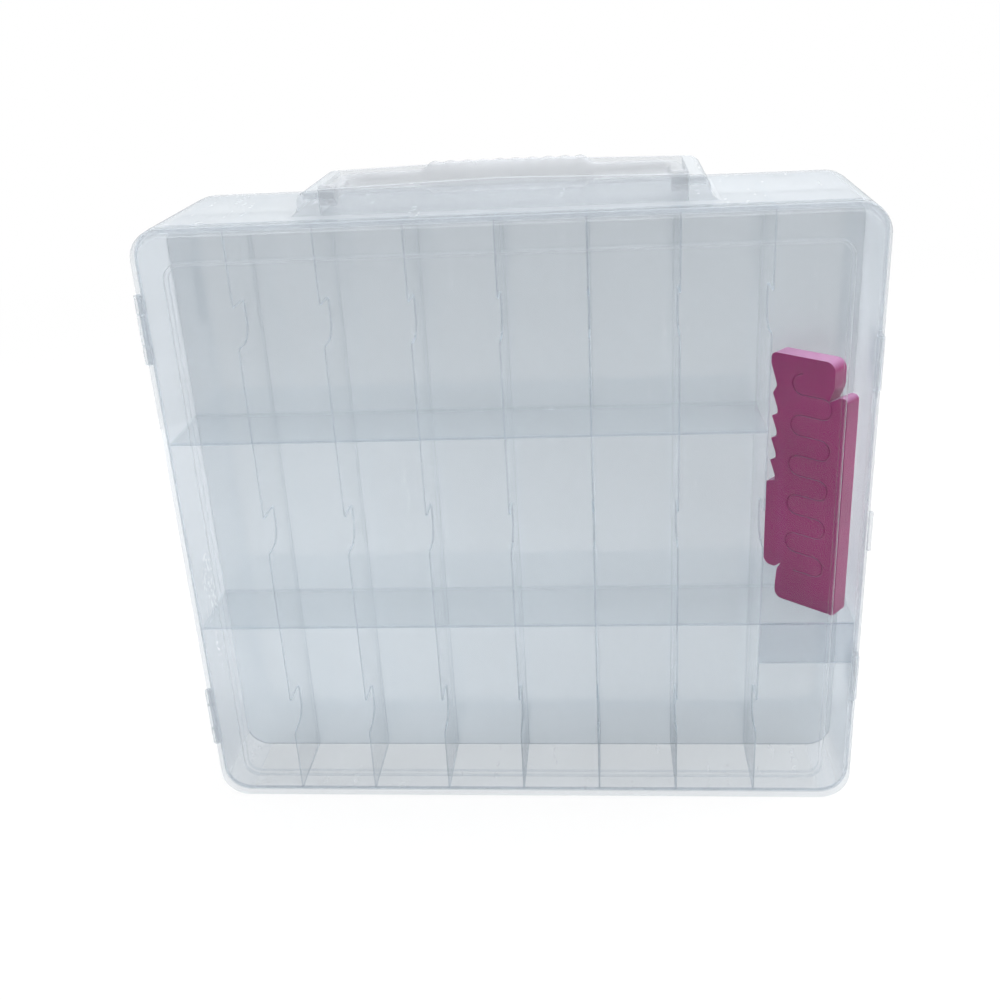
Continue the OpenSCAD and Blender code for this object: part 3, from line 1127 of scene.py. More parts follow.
def add_knuckle(bm: Mesh, sizes: BoxSizes, side: Side, low: float, high: float) -> None:
    """Add one hinge knuckle: a tube with rounded ends round the pin.

    Args:
        bm: the mesh to add to.
        sizes: the box's sizes.
        side: the side of the box.
        low: its lower end.
        high: its upper end.
    """
    y = sizes.hinge_y * -side.value
    outer, inner, lip = sizes.knuckle_r, sizes.bore_r, sizes.knuckle_lip
    rings = [
        (inner, low),
        (outer - lip, low),
        (outer, low + lip),
        (outer, high - lip),
        (outer - lip, high),
        (inner, high),
    ]
    loops = [add_ring(bm, radius, KNUCKLE_SIDES, moved(sizes.hinge_x, y, z)) for radius, z in rings]
    for first, second in zip(loops, loops[1:] + loops[:1]):
        bridge(bm, first, second)


@dataclass
class TrayWalls:
    """The middle web and, on each side of it, the shelves, dividers and bin lip."""

    sizes: BoxSizes
    sink: float = 0.8 * MM
    end_sink: float = 0.3 * MM
    plate_round: float = 0.3 * MM
    draft: float = 0.25 * MM
    notch_d: float = 20 * MM
    notch_h: float = 21 * MM
    notch_low_r: float = 9.5 * MM
    notch_high_r: float = 3.5 * MM
    notch_ease: float = 2.2 * MM
    notch_pitch: float = 115.5 * MM
    divider_count: int = 7
    root_d: float = 1.0 * MM
    root_r: float = 0.35 * MM
    root_steps: int = 3
    lip_sink: float = 0.5 * MM
    lip_rise: float = 0.4 * MM
    lip_round: float = 0.5 * MM
    lip_edge: float = 0.6 * MM
    finishes: tuple[ClearPlastic, ...] = (PLATE_FINISH, PLATE_EDGE_FINISH, PLATE_ROOT_FINISH)

    def build_web(self) -> None:
        """Build the web that parts the two trays."""
        s = self.sizes
        bm = bmesh.new()
        face = rounded_face(
            bm,
            s.inner_w + 2 * self.sink,
            s.inner_h + 2 * self.sink,
            s.corner_r - s.wall + self.sink,
            upright(-s.web_t / 2, s.middle_z),
        )
        thicken(bm, face, (0, s.web_t, 0))
        Piece("web_panel", "case", "clear_case", (WEB_FINISH,), ("centre_web",)).complete(bm)

    def complete_plate(self, bm: Mesh, node: str, finishes: tuple[ClearPlastic, ...]) -> None:
        """Complete the piece that stands for one shelf, divider or lip of the case."""
        Piece(f"{node}_plate", "case", "clear_case", finishes, (node,)).complete(bm)

    def build_shelf(self, side: Side, level: Level) -> None:
        """Build a shelf, with a round front edge.

        Args:
            side: the side of the box.
            level: which of the two shelves.
        """
        node = f"{side.word}_{level.word}_shelf"
        low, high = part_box(node)
        far_x = high.x + (self.sink if level is Level.LOWER else self.end_sink)
        bm = bmesh.new()
        add_block(bm, (low.x - self.sink, -self.sizes.tray_d, low.z), (far_x, 0.0, high.z))
        self.round_mouth(bm)
        self.flare_root(bm, Vector((0, 0, (low.z + high.z) / 2)), Vector((0, 0, 1)))
        mirrored(bm, side)
        self.complete_plate(bm, node, (SHELF_FINISH, *self.finishes[1:]))

    def round_mouth(self, bm: Mesh) -> None:
        """Round a plate's edges at the tray's mouth and give its front edge its own finish.

        Args:
            bm: the plate.
        """
        mouth = -self.sizes.tray_d
        edges = [
            edge
            for edge in bm.edges
            if all(abs(vert.co.y - mouth) < SAME_PLACE for vert in edge.verts)
        ]
        soften(bm, edges, self.plate_round)
        for face in bm.faces:
            if abs(face.calc_center_median().y - mouth) < self.plate_round + SAME_PLACE:
                face.material_index = 1

    def divider_outline(self) -> list[tuple[float, float]]:
        """Lay out a front divider's corners, down its notched front edge.

        Returns:
            Y and Z of each corner.
        """
        s = self.sizes
        mouth, root = -s.tray_d, 0.0
        top = s.wall + s.inner_h + self.sink
        points = [(root, s.wall - self.sink), (root, top), (mouth, top)]
        for row in (1, 0, -1):
            height = s.middle_z + row * self.notch_pitch
            for z in (height + self.notch_h / 2, height - self.notch_h / 2):
                outer, inner = (mouth, z), (mouth + self.notch_d, z)
                points += [outer, inner] if z > height else [inner, outer]
        points.append((mouth, s.wall - self.sink))
        return points

    def build_divider(self, side: Side, number: int) -> None:
        """Build a divider: notched outline, thinner towards the mouth, with rounded edges.

        Args:
            side: the side of the box.
            number: its number, counted from the hinges.
        """
        node = f"{side.word}_divider_{number}"
        low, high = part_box(node)
        bm = bmesh.new()
        corners = [bm.verts.new((low.x, y, z)) for y, z in self.divider_outline()]
        bm.faces.new(corners)
        self.round_notches(bm, corners)
        thicken(bm, next(iter(bm.faces)), (high.x - low.x, 0, 0))
        middle = (low.x + high.x) / 2
        for vert in bm.verts:
            share = -vert.co.y / self.sizes.tray_d
            vert.co.x -= math.copysign(self.draft * share, vert.co.x - middle)
        for face in bm.faces:
            if abs(face.normal.x) < 0.5 and face.calc_center_median().y < -MM:
                face.material_index = 1
        rim = [
            edge
            for edge in bm.edges
            if {face.material_index for face in edge.link_faces} == {0, 1}
        ]
        soften(bm, rim, self.plate_round, steps=2)
        self.flare_root(bm, Vector((middle, 0, 0)), Vector((1, 0, 0)))
        mirrored(bm, side)
        self.complete_plate(bm, node, self.finishes)

    def round_notches(self, bm: Mesh, corners: list[Vert]) -> None:
        """Round the corners of the finger notches in a flat divider outline.

        Args:
            bm: the outline.
            corners: its corners.
        """
        s = self.sizes
        rows = [s.middle_z + row * self.notch_pitch for row in (-1, 0, 1)]
        picked = {self.notch_low_r: [], self.notch_high_r: [], self.notch_ease: []}
        for vert in corners:
            row = min(rows, key=lambda height: abs(vert.co.z - height))
            if abs(vert.co.y + s.tray_d - self.notch_d) < SAME_PLACE:
                picked[self.notch_low_r if vert.co.z < row else self.notch_high_r].append(vert)
            elif abs(abs(vert.co.z - row) - self.notch_h / 2) < SAME_PLACE:
                picked[self.notch_ease].append(vert)
        for radius, verts in picked.items():
            round_corners(bm, verts, radius)

    def flare_root(self, bm: Mesh, middle: Vector, across: Vector) -> None:
        """Widen a front plate where it grows out of the web, as its root's fillets do.

        Args:
            bm: the plate.
            middle: a point in the plate's middle.
            across: the way through its thickness.
        """
        start = -self.sizes.web_t / 2
        for i in range(self.root_steps + 1):
            bmesh.ops.bisect_plane(
                bm,
                geom=bm.verts[:] + bm.edges[:] + bm.faces[:],
                plane_co=(0, start - self.root_d * i / self.root_steps, 0),
                plane_no=(0, 1, 0),
                dist=SAME_PLACE,
            )
        reach = start - self.root_d
        for vert in bm.verts:
            share = max(0.0, min(1.0, (vert.co.y - reach) / self.root_d))
            out = math.copysign(1.0, (vert.co - middle).dot(across))
            vert.co += across * out * self.root_r * (1 - math.sqrt(1 - share**2))
        for face in bm.faces:
            if face.calc_center_median().y > reach:
                face.material_index = 2

    def build_lip(self, side: Side) -> None:
        """Build the lip across the small bin.

        Args:
            side: the side of the box.
        """
        node = f"{side.word}_bin_lip"
        low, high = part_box(node)
        bm = bmesh.new()
        add_block(
            bm,
            (low.x - self.lip_sink, low.y, low.z),
            (high.x + self.sink, high.y, high.z + self.lip_rise),
        )
        lowest = [e for e in bm.edges if all(abs(v.co.z - low.z) < SAME_PLACE for v in e.verts)]
        soften(bm, lowest, self.lip_round)
        for face in bm.faces:
            if face.calc_center_median().z < low.z + self.lip_edge:
                face.material_index = 1
        self.complete_plate(bm, node, (LIP_FINISH, PLATE_EDGE_FINISH))

    def build(self) -> None:
        """Build the web and both trays."""
        self.build_web()
        for side in Side:
            for level in Level:
                self.build_shelf(side, level)
            for number in range(1, self.divider_count + 1):
                self.build_divider(side, number)
            self.build_lip(side)


@dataclass
class Lid:
    """One lid: bead, skirt, flat border and raised panel, with its knuckles and thumb tab."""

    sizes: BoxSizes
    side: Side
    rim_rise: float = 4 * MM
    panel_rise: float = 4 * MM
    panel_inset: float = 16 * MM
    panel_r: float = 9 * MM
    lid_t: float = 2 * MM
    rim_w: float = 3 * MM
    seat_gap: float = 0.3 * MM
    skirt_t: float = 1.2 * MM
    skirt_gap: float = 0.25 * MM
    tab_len: float = 22 * MM
    tab_out: float = 1.6 * MM
    tab_sink: float = 0.6 * MM
    tab_back: float = 0.3 * MM
    tab_round: float = 0.6 * MM
    gap_front: float = 6 * MM
    gap_out: float = 4 * MM
    groove: float = 0.45 * MM

    def stations(self) -> list[Station]:
        """Lay out the lid's section, from its panel's front over the edge to its back.

        Returns:
            Its outlines.
        """
        s = self.sizes
        face = -(s.tray_d + self.rim_rise)
        panel = face - self.panel_rise
        seat = -(s.tray_d + self.seat_gap)
        end = -(s.tray_d - s.rebate_d + self.skirt_gap)
        border = face + self.groove
        t = self.lid_t
        panel_front = [
            (1.5 * MM, panel, 0),
            (0.7 * MM, panel + 0.2 * MM, 1),
            (0.3 * MM, panel + 0.7 * MM, 1),
            (0.05 * MM, border - 0.8 * MM, 0),
            (-0.25 * MM, border - 0.2 * MM, 0),
            (-0.9 * MM, border, 0),
        ]
        edge = [
            (4.6 * MM, border, 0),
            (4.1 * MM, border - 0.1 * MM, 1),
            (3.8 * MM, face + 0.05 * MM, 1),
            (3.4 * MM, face, 1),
            (1.0 * MM, face, 1),
            (0.3 * MM, face + 0.25 * MM, 1),
            (0.0, face + 0.9 * MM, 1),
            (0.0, end - 0.25 * MM, 0),
            (0.25 * MM, end, 1),
            (self.skirt_t - 0.2 * MM, end, 1),
            (self.skirt_t, end - 0.2 * MM, 1),
            (self.skirt_t, seat, 0),
            (self.rim_w - 0.3 * MM, seat, 1),
            (self.rim_w, seat - 0.3 * MM, 1),
            (self.rim_w, face + t + 0.4 * MM, 1),
            (self.rim_w + 0.4 * MM, face + t, 1),
        ]
        panel_back = [
            (t - 0.9 * MM, face + t, 0),
            (t - 0.3 * MM, face + t - 0.3 * MM, 0),
            (t, face + t - 0.9 * MM, 0),
            (t + 0.2 * MM, panel + t + 0.5 * MM, 0),
            (t + 0.9 * MM, panel + t, 0),
        ]
        return (
            [self.panel_step(*row) for row in panel_front]
            + [Station(inset, y, slot) for inset, y, slot in edge]
            + [self.panel_step(*row) for row in panel_back]
        )

    def panel_step(self, inset: float, y: float, slot: int) -> Station:
        """Give a station of the raised panel, by its inset from the panel's own outline.

        Args:
            inset: the distance inside the panel's outline.
            y: the place in depth.
            slot: the material of the band that leads to it.

        Returns:
            The station.
        """
        return Station(self.panel_inset + inset, y, slot, self.panel_r - inset)

    def latch_gaps(self) -> Mesh:
        """Shape the cutter of the gaps in the bead where the latches and the hinges turn.

        Returns:
            The cutter.
        """
        s = self.sizes
        bm = bmesh.new()
        for height in s.heights(s.latch_offset):
            half = s.latch_len / 2 + s.latch_gap
            add_block(
                bm,
                (s.latch_x - s.barrel_r - s.latch_gap, -s.tray_d - self.gap_front, height - half),
                (s.case_w / 2 + self.gap_out, -s.tray_d + s.rebate_d + MM, height + half),
            )
        s.add_knuckle_rooms(bm, own=True)
        mirrored(bm, self.side)
        return bm

    def build(self) -> None:
        """Build the lid's shell."""
        s = self.sizes
        lid = f"{self.side.word}_lid"
        shell = Piece(f"{lid}_shell", lid, "clear_lid", (LID_FINISH, BEAD_FINISH), (lid,))
        bm = bmesh.new()
        outline = Outline(
            s.case_w - 2 * s.lid_inset,
            s.case_h - 2 * s.lid_inset,
            s.corner_r - s.lid_inset,
            s.middle_z,
        )
        stepped_shell(bm, outline, self.stations(), closed=False)
        mirrored(bm, self.side)
        shell.build(bm)
        shell.carve(self.latch_gaps())
        shell.deliver()

    def build_trim(self) -> None:
        """Build the lid's knuckles and its thumb tab."""
        s = self.sizes
        bm = bmesh.new()
        for low, high in s.knuckle_rows(own=False):
            add_knuckle(bm, s, Side.FRONT, low, high)
        edge_x = s.case_w / 2 - s.lid_inset
        face = -(s.tray_d + self.rim_rise)
        half = self.tab_len / 2
        tab = add_block(
            bm,
            (edge_x - self.tab_sink, face + self.tab_back, s.middle_z - half),
            (edge_x + self.tab_out, face + self.lid_t, s.middle_z + half),
        )
        ends = [
            edge for edge in bm.edges if all(v in tab and v.co.x > edge_x for v in edge.verts)
        ]
        soften(bm, ends, self.tab_round)
        mirrored(bm, self.side)
        lid = f"{self.side.word}_lid"
        Piece(f"{lid}_knuckles", lid, "clear_lid", (BEAD_FINISH,)).complete(bm)


@dataclass
class Latch:
    """One latch: barrel, plate, and finger lip with grip ribs."""

    sizes: BoxSizes
    side: Side
    level: Level
    plate_t: float = 1.5 * MM
    plate_out: float = 0.6 * MM
    lip_t: float = 1.4 * MM
    lip_sink: float = 0.2 * MM
    edge_round: float = 0.45 * MM
    ribs: int = 4
    rib_r: float = 0.28 * MM
    rib_sink: float = 0.1 * MM
    rib_first: float = 2.2 * MM
    rib_pitch: float = 1.8 * MM
    rib_end: float = 3 * MM

    def build(self) -> None:
        """Build the latch."""
        s = self.sizes
        node = f"{self.side.word}_{self.level.word}_latch"
        z = s.middle_z + self.level.value * s.latch_offset
        low, high = z - s.latch_len / 2, z + s.latch_len / 2
        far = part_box(f"front_{self.level.word}_latch")[1]
        plate_x = s.case_w / 2 - s.rebate_step + self.plate_out
        bm = bmesh.new()
        plate = add_block(bm, (plate_x, s.latch_y, low), (plate_x + self.plate_t, far.y, high))
        lip_start = (plate_x + self.lip_sink, far.y - self.lip_t, low)
        lip = add_block(bm, lip_start, (far.x, far.y, high), slot=1)
        edges = [
            edge
            for edge in bm.edges
            if all(vert in plate + lip and vert.co.y > s.latch_y + MM for vert in edge.verts)
        ]
        soften(bm, edges, self.edge_round)
        start, end = (s.latch_x, s.latch_y, low), (s.latch_x, s.latch_y, high)
        add_rod(bm, start, end, s.barrel_r, sides=32, slot=1)
        x = plate_x + self.plate_t - self.rib_sink
        for i in range(self.ribs):
            y = far.y - self.lip_t - self.rib_first - self.rib_pitch * i
            start, end = (x, y, low + self.rib_end), (x, y, high - self.rib_end)
            add_rod(bm, start, end, self.rib_r, sides=12, slot=1)
        mirrored(bm, self.side)
        Piece(f"{node}_clip", node, "clear_latch", (LATCH_FINISH, BEAD_FINISH), (node,)).complete(bm)


@dataclass
class HandleSeat:
    """The raised seat on the case's top: S-shaped ends round a pocket for the folded handle."""

    foot_r: float = 5 * MM
    foot_flat: float = 0.05 * MM
    shoulder_r: float = 6.5 * MM
    half_w: float = 100 * MM
    end_h: float = 12.2 * MM
    mid_h: float = 14.6 * MM
    wall: float = 2.5 * MM
    block: float = 10 * MM
    sink: float = 0.5 * MM
    edge_round: float = 0.9 * MM
    edge_start: float = 0.2 * MM
    pocket_r: float = 2.0 * MM
    past: float = 4 * MM

    def build(self) -> None:
        """Build the seat."""
        low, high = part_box("handle_seat")
        finishes = (SEAT_FINISH, RIM_FINISH)
        piece = Piece("handle_seat_body", "case", "clear_case", finishes, ("handle_seat",))
        bm = bmesh.new()
        base = low.z - self.sink
        right = [
            (self.half_w + self.foot_r, base),
            (self.half_w + self.foot_r, low.z),
            (self.half_w, low.z),
            (self.half_w, low.z + self.end_h),
            (0.0, low.z + self.mid_h),
        ]
        outline = right + [(-x, z) for x, z in reversed(right[:-1])]
        corners = [bm.verts.new((x, low.y, z)) for x, z in outline]
        bm.faces.new(corners)
        inner = [v for v in corners if abs(abs(v.co.x) - self.half_w) < SAME_PLACE]
        feet = [v for v in inner if v.co.z < low.z + MM]
        shoulders = [v for v in inner if v.co.z > low.z + MM]
        round_corners(bm, feet, self.foot_r - self.foot_flat)
        round_corners(bm, shoulders, self.shoulder_r)
        thicken(bm, next(iter(bm.faces)), (0, high.y - low.y, 0))
        rim = [
            edge
            for edge in bm.edges
            if all(abs(abs(v.co.y) - high.y) < SAME_PLACE for v in edge.verts)
            and all(v.co.z > low.z + self.edge_start for v in edge.verts)
        ]
        soften(bm, rim, self.edge_round)
        piece.build(bm)
        cutter = bmesh.new()
        pocket = rounded_face(
            cutter,
            2 * (self.half_w - self.block),
            2 * (high.y - self.wall),
            self.pocket_r,
            moved(0, 0, base - MM),
            steps=5,
        )
        thicken(cutter, pocket, (0, 0, self.mid_h + self.past))
        piece.carve(cutter)
        piece.deliver()


def wave(place: float) -> float:
    """A smooth wave that is 0 at even numbers and 1 at odd ones."""
    return (1 - math.cos(math.pi * place)) / 2


@dataclass
class CarryHandle:
    """The folding handle: eyes, arms, bends and a thick ribbed grip."""

    bar_r: float = 4 * MM
    grip_r: float = 8.2 * MM
    grip_half_w: float = 38 * MM
    taper: float = 8 * MM
    taper_steps: int = 8
    bend_r: float = 12 * MM
    eye_r: float = 5 * MM
    eye_round: float = 0.7 * MM
    ribs: int = 9
    rib_steps: int = 8
    rib_depth: float = 0.7 * MM
    sides: int = 32
    smooth_below: float = 40.0

    def build(self) -> None:
        """Build the handle."""
        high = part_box("carry_handle")[1]
        pin_low, pin_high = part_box("handle_pins")
        pivot = Vector((0, (pin_low.y + pin_high.y) / 2, (pin_low.z + pin_high.z) / 2))
        arm_x = high.x - self.bar_r
        reach = high.y - self.grip_r - pivot.y
        bm = bmesh.new()
        start = moved(arm_x, pivot.y, pivot.z) @ Matrix.Rotation(RIGHT_ANGLE, 4, "X")
        loop = add_ring(bm, self.bar_r, self.sides, start, filled=True)
        loop = pull(bm, loop, (0, reach - self.bend_r, 0))
        centre = (arm_x - self.bend_r, pivot.y + reach - self.bend_r, pivot.z)
        loop = swing(bm, loop, centre, (0, 0, 1), RIGHT_ANGLE, steps=10)
        straight = arm_x - self.bend_r - self.grip_half_w - self.taper
        loop = pull(bm, loop, (-straight, 0, 0))
        axis = Vector((0, pivot.y + reach, pivot.z))
        loop = self.follow(bm, loop, axis, self.taper, self.swelling())
        self.follow(bm, loop, axis, self.grip_half_w, self.ripples())
        whole = bm.verts[:] + bm.edges[:] + bm.faces[:]
        bmesh.ops.mirror(bm, geom=whole, axis="X", merge_dist=WELD)
        for sign in (-1, 1):
            verts = add_rod(
                bm,
                (sign * (arm_x - self.bar_r), pivot.y, pivot.z),
                (sign * (arm_x + self.bar_r), pivot.y, pivot.z),
                self.eye_r,
                self.sides,
            )
            rims = [
                edge
                for edge in bm.edges
                if all(vert in verts for vert in edge.verts)
                and abs(edge.verts[0].co.x - edge.verts[1].co.x) < SAME_PLACE
            ]
            soften(bm, rims, self.eye_round)
        node = "carry_handle"
        piece = Piece("carry_handle_bar", node, "clear_handle", (HANDLE_FINISH,), (node,))
        piece.complete(bm, self.smooth_below)

    def swelling(self) -> list[float]:
        """The radii from the bar to the grip, along a smooth S."""
        rise, steps = self.grip_r - self.bar_r, self.taper_steps
        return [self.bar_r + rise * wave(i / steps) for i in range(steps + 1)]

    def ripples(self) -> list[float]:
        """The radii from the grip's end to its middle, over shallow finger grooves."""
        steps = self.rib_steps * ((self.ribs + 1) // 2)
        return [self.grip_r - self.rib_depth * wave(self.ribs * i / steps) for i in range(steps + 1)]

    def follow(
        self, bm: Mesh, loop: list[Edge], axis: Vector, length: float, radii: list[float]
    ) -> list[Edge]:
        """Carry the bar on towards its middle through a row of radii, at even steps.

        Args:
            bm: the mesh.
            loop: the bar's open end.
            axis: a point on the bar's axis.
            length: the length of the whole row.
            radii: the radius at the start and after each step.

        Returns:
            The new open end.
        """
        step = length / (len(radii) - 1)
        for old, new in zip(radii, radii[1:]):
            loop = pull(bm, loop, (-step, 0, 0))
            verts = list({vert for edge in loop for vert in edge.verts})
            size = (1.0, new / old, new / old)
            bmesh.ops.scale(bm, verts=verts, vec=size, space=Matrix.Translation(-axis))
        return loop


@dataclass
class ThreadComb:
    """The loose raspberry comb: notched outline, soft edges and a generic wavy groove."""

    width: float = 45 * MM
    height: float = 140.5 * MM
    thick: float = 11 * MM
    turn: float = math.radians(-40)
    head_h: float = 17.5 * MM
    head_w: float = 37 * MM
    nick_d: float = 3.6 * MM
    teeth: int = 4
    tooth_pitch: float = 12.6 * MM
    tooth_back: float = 1.7 * MM
    tooth_root: float = 4.9 * MM
    foot_h: float = 18.5 * MM
    foot_x: float = 8 * MM
    corner_r: float = 4.5 * MM
    edge_round: float = 0.9 * MM
    groove_r: float = 0.55 * MM
    groove_turns: int = 5
    groove_turn_r: float = 5.6 * MM
    groove_run: float = 12 * MM
    groove_shift: float = 2.5 * MM
    groove_start: float = 20 * MM

    def outline(self) -> list[tuple[float, float, float]]:
        """Lay out the comb in its own plane, from its foot up the right and down the left.

        Returns:
            X, Z and rounding of each corner.
        """
        w, h = self.width, self.height
        shoulder = h - self.head_h
        first_tip = shoulder - 4.6 * MM
        block = first_tip - self.teeth * self.tooth_pitch
        right = [
            (self.foot_x, 0.0, self.corner_r),
            (w, 0.0, 1.5 * MM),
            (w, shoulder, 2.9 * MM),
            (self.head_w + self.nick_d, shoulder, 0.5 * MM),
            (self.head_w - 2.7 * MM, shoulder - self.nick_d, 0.6 * MM),
            (self.head_w, shoulder + self.nick_d, 1.5 * MM),
            (self.head_w, h, 5.4 * MM),
            (0.0, h, 3.0 * MM),
            (0.0, h - 6 * MM, 1.2 * MM),
            (self.tooth_root - 0.8 * MM, shoulder, 0.8 * MM),
        ]
        tips = [first_tip - i * self.tooth_pitch for i in range(self.teeth)]
        left = []
        for tip in tips:
            left += [
                (self.tooth_back, tip, 0.35 * MM),
                (self.tooth_root, tip - 0.63 * self.tooth_pitch, 0.4 * MM),
                (self.tooth_root, tip - 0.87 * self.tooth_pitch, 0.4 * MM),
            ]
        foot = [
            (0.0, block, 0.6 * MM),
            (0.0, self.foot_h, self.corner_r),
            (self.foot_x - 0.8 * MM, self.foot_h, 0.3 * MM),
            (self.foot_x + 3.2 * MM, self.foot_h + 3.2 * MM, 0.4 * MM),
            (self.foot_x + 0.8 * MM, self.foot_h - 0.8 * MM, 0.4 * MM),
            (self.foot_x, self.foot_h / 2, 1.0 * MM),
        ]
        return right + left + foot

    def body_mesh(self) -> Mesh:
        """Shape the comb's solid, flat on its back in its own frame, with soft edges.

        Returns:
            The mesh.
        """
        bm = bmesh.new()
        points = self.outline()
        corners = [bm.verts.new((x, 0.0, z)) for x, z, _ in points]
        bm.faces.new(corners)
        for vert, (_, _, radius) in zip(corners, points):
            if vert.is_valid:
                round_corners(bm, [vert], radius, 6 if radius > MM else 3)
        thicken(bm, next(iter(bm.faces)), (0, self.thick, 0))
        rims = [e for e in bm.edges if abs(e.verts[0].co.y - e.verts[1].co.y) < SAME_PLACE]
        soften(bm, rims, self.edge_round)
        return bm

    def groove_mesh(self) -> Mesh:
        """Shape a round rod that winds up the comb's face in even bends, to be cut from it.

        Returns:
            The mesh.
        """
        bm = bmesh.new()
        x = self.width / 2 - self.groove_run / 2 + self.groove_shift
        z, way = self.groove_start, 1
        start = moved(x, 0, z) @ Matrix.Rotation(RIGHT_ANGLE, 4, "Y")
        loop = add_ring(bm, self.groove_r, 10, start, filled=True)
        for _ in range(2 * self.groove_turns):
            loop = pull(bm, loop, (way * self.groove_run, 0, 0))
            x += way * self.groove_run
            centre = (x, 0, z + self.groove_turn_r)
            loop = swing(bm, loop, centre, (0, -way, 0), math.pi, steps=12)
            z += 2 * self.groove_turn_r
            way = -way
        bmesh.ops.holes_fill(bm, edges=loop, sides=12)
        return bm

    def place(self) -> Matrix:
        """Find the transform that stands the comb in its bin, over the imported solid.

        Returns:
            The transform.
        """
        low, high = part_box("thread_comb")
        middle = (low + high) / 2
        turned = Matrix.Rotation(self.turn, 4, "Z")
        to_corner = moved(-self.width / 2, -self.thick / 2, 0)
        return moved(middle.x, middle.y, low.z) @ turned @ to_corner

    def build(self) -> None:
        """Build the comb."""
        piece = Piece("comb_body", "thread_comb", "comb_pink", (COMB_FINISH,), ("thread_comb",))
        body, groove = self.body_mesh(), self.groove_mesh()
        for bm in (body, groove):
            bmesh.ops.transform(bm, matrix=self.place(), verts=bm.verts)
        piece.build(body)
        piece.carve(groove)
        piece.deliver()


@dataclass
class Pins:
    """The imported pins, which stay and only get their finish."""

    nodes: tuple[str, ...] = (
        "front_hinge_pins",
        "rear_hinge_pins",
        "front_latch_pins",
        "rear_latch_pins",
        "handle_pins",
    )

    def dress(self) -> None:
        """Give each packed pin the clear pin finish."""
        for name in self.nodes:
            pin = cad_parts[name]
            pin.data.materials.clear()
            pin.data.materials.append(PIN_FINISH.material())
            log.info("%s: packed node, dressed", name)


# The stage


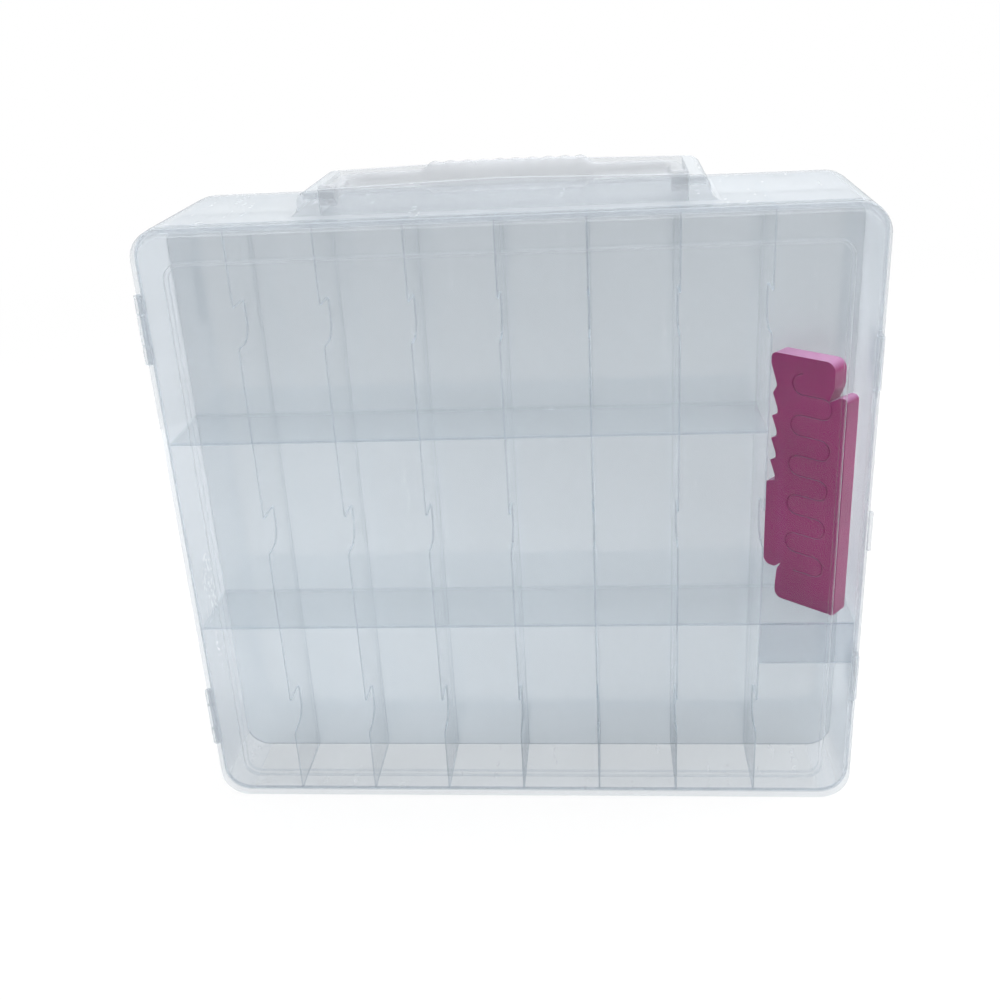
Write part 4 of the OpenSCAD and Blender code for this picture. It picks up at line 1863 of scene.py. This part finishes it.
@dataclass
class Studio:
    """White floor, soft lamps and the camera at the photograph's view."""

    camera_place: Point = (0.04871, -0.60731, 0.43553)
    camera_right: Point = (0.99570652, 0.07606625, -0.05274904)
    camera_up: Point = (0.01746778, 0.40521026, 0.91405663)
    camera_forward: Point = (-0.09090331, 0.91105355, -0.40214179)
    lens_mm: float = 42.507
    sensor_mm: float = 36.0
    lamp_aim: Point = (0.0, 0.0, 0.17)
    ambient: float = 0.27
    ambient_tone: Colour = (0.93, 0.97, 1.0)
    behind: tuple[float, float] = (0.0, 0.5)
    near_lift: float = 0.9
    lift_reach: tuple[float, float] = (0.3, 1.6)
    floor_size: float = 14.0

    def build_camera(self) -> None:
        """Stand the camera where the photograph was taken from."""
        data = bpy.data.cameras.new("camera")
        data.lens = self.lens_mm
        data.sensor_width = self.sensor_mm
        data.clip_start = 0.01
        data.clip_end = 100.0
        camera = as_object("camera", data)
        axes = (self.camera_right, self.camera_up, tuple(-v for v in self.camera_forward))
        turn = Matrix(axes).transposed().to_4x4()
        camera.matrix_world = Matrix.Translation(self.camera_place) @ turn
        bpy.context.scene.camera = camera

    def seen_directly(self, graph: Graph) -> Socket:
        """Mask the rays that show the background itself: no gloss has mirrored them.

        Args:
            graph: the world's or the material's graph.

        Returns:
            The mask.
        """
        path = graph.add("ShaderNodeLightPath").outputs
        direct = graph.maths("MAXIMUM", path["Is Camera Ray"], path["Is Transmission Ray"])
        return graph.maths("GREATER_THAN", direct, path["Glossy Depth"])

    def build_world(self) -> None:
        """Light the scene evenly before a white background, and brightly behind for the gloss."""
        world = bpy.data.worlds.new("studio")
        world.use_nodes = True
        world.node_tree.nodes.clear()
        graph = Graph(world.node_tree)
        seen = self.seen_directly(graph)
        way = graph.add("ShaderNodeTexCoord").outputs["Generated"]
        depth = graph.add("ShaderNodeSeparateXYZ", {"Vector": way}).outputs["Y"]
        behind = graph.ranged(depth, self.behind, (self.ambient, 1.0))
        bounces = graph.add("ShaderNodeLightPath").outputs["Glossy Depth"]
        strength = graph.value_mix(seen, graph.value_mix(bounces, self.ambient, behind), 1.0)
        colour = graph.colour_mix(seen, rgba(self.ambient_tone), WHITE)
        sky = graph.first("ShaderNodeBackground", {"Color": colour, "Strength": strength})
        graph.add("ShaderNodeOutputWorld", {"Surface": sky})
        bpy.context.scene.world = world

    def build_floor(self) -> None:
        """Lay a white floor that keeps a faint shadow."""
        bm = bmesh.new()
        bmesh.ops.create_grid(bm, x_segments=1, y_segments=1, size=self.floor_size / 2)
        floor = as_object("floor", as_mesh(bm, "floor"))
        material, graph = start_material("white_paper")
        place = graph.add("ShaderNodeTexCoord").outputs["Object"]
        grain = graph.first("ShaderNodeTexNoise", {"Vector": place, "Scale": 60.0})
        tone = graph.colour_mix(grain, (0.88, 0.88, 0.88, 1.0), (0.90, 0.90, 0.90, 1.0))
        paper = graph.first(
            "ShaderNodeBsdfPrincipled",
            {"Base Color": tone, "Roughness": 0.9, "Specular IOR Level": 0.0},
        )
        away = graph.add("ShaderNodeVectorMath", {0: place}, operation="LENGTH").outputs["Value"]
        lift = graph.ranged(away, self.lift_reach, (self.near_lift, 1.0))
        share = graph.maths("MULTIPLY", lift, self.seen_directly(graph))
        glow = graph.first("ShaderNodeEmission", {"Strength": 1.0})
        graph.add("ShaderNodeOutputMaterial", {"Surface": graph.shader_mix(share, paper, glow)})
        floor.data.materials.append(material)

    def add_lamp(self, name: str, place: Point, size: float, power: float, colour: Colour) -> None:
        """Hang one soft square lamp, which neither the gloss nor the blurred web shows.

        Args:
            name: the lamp's name.
            place: where it hangs; it faces the box's middle.
            size: the length of its sides.
            power: its power in watts.
            colour: its colour.
        """
        data = bpy.data.lights.new(name, "AREA")
        data.shape = "SQUARE"
        data.size = size
        data.energy = power
        data.color = colour
        lamp = as_object(name, data)
        lamp.visible_glossy = False
        lamp.visible_transmission = False
        turn = (Vector(self.lamp_aim) - Vector(place)).to_track_quat("-Z", "Y")
        lamp.matrix_world = Matrix.Translation(place) @ turn.to_matrix().to_4x4()

    def build_lamps(self) -> None:
        """Hang the lamps: a large one overhead, and weaker ones behind and at both sides."""
        self.add_lamp("overhead", (0.0, 0.35, 1.85), 1.8, 44.0, (1.0, 0.99, 0.98))
        self.add_lamp("behind", (-0.5, 0.55, 0.05), 0.4, 4.0, (0.98, 0.99, 1.0))
        self.add_lamp("right_side", (0.8, 0.1, 1.1), 0.6, 13.0, (0.98, 0.99, 1.0))
        self.add_lamp("left_side", (-1.3, 0.0, 0.5), 1.0, 3.0, (1.0, 0.98, 0.95))

    def build(self) -> None:
        """Build the whole stage."""
        self.build_camera()
        self.build_world()
        self.build_floor()
        self.build_lamps()
        scene = bpy.context.scene
        scene.view_settings.view_transform = "Standard"
        scene.cycles.transparent_max_bounces = 96
        scene.cycles.max_bounces = 6


def main() -> None:
    """Build the stage and every sub-assembly."""
    Studio().build()
    sizes = BoxSizes()
    ring = CaseRing(sizes)
    ring.build()
    ring.build_trim()
    TrayWalls(sizes).build()
    for side in Side:
        lid = Lid(sizes, side)
        lid.build()
        lid.build_trim()
        for level in Level:
            Latch(sizes, side, level).build()
    HandleSeat().build()
    CarryHandle().build()
    ThreadComb().build()
    Pins().dress()


if __name__ == "__main__":
    main()
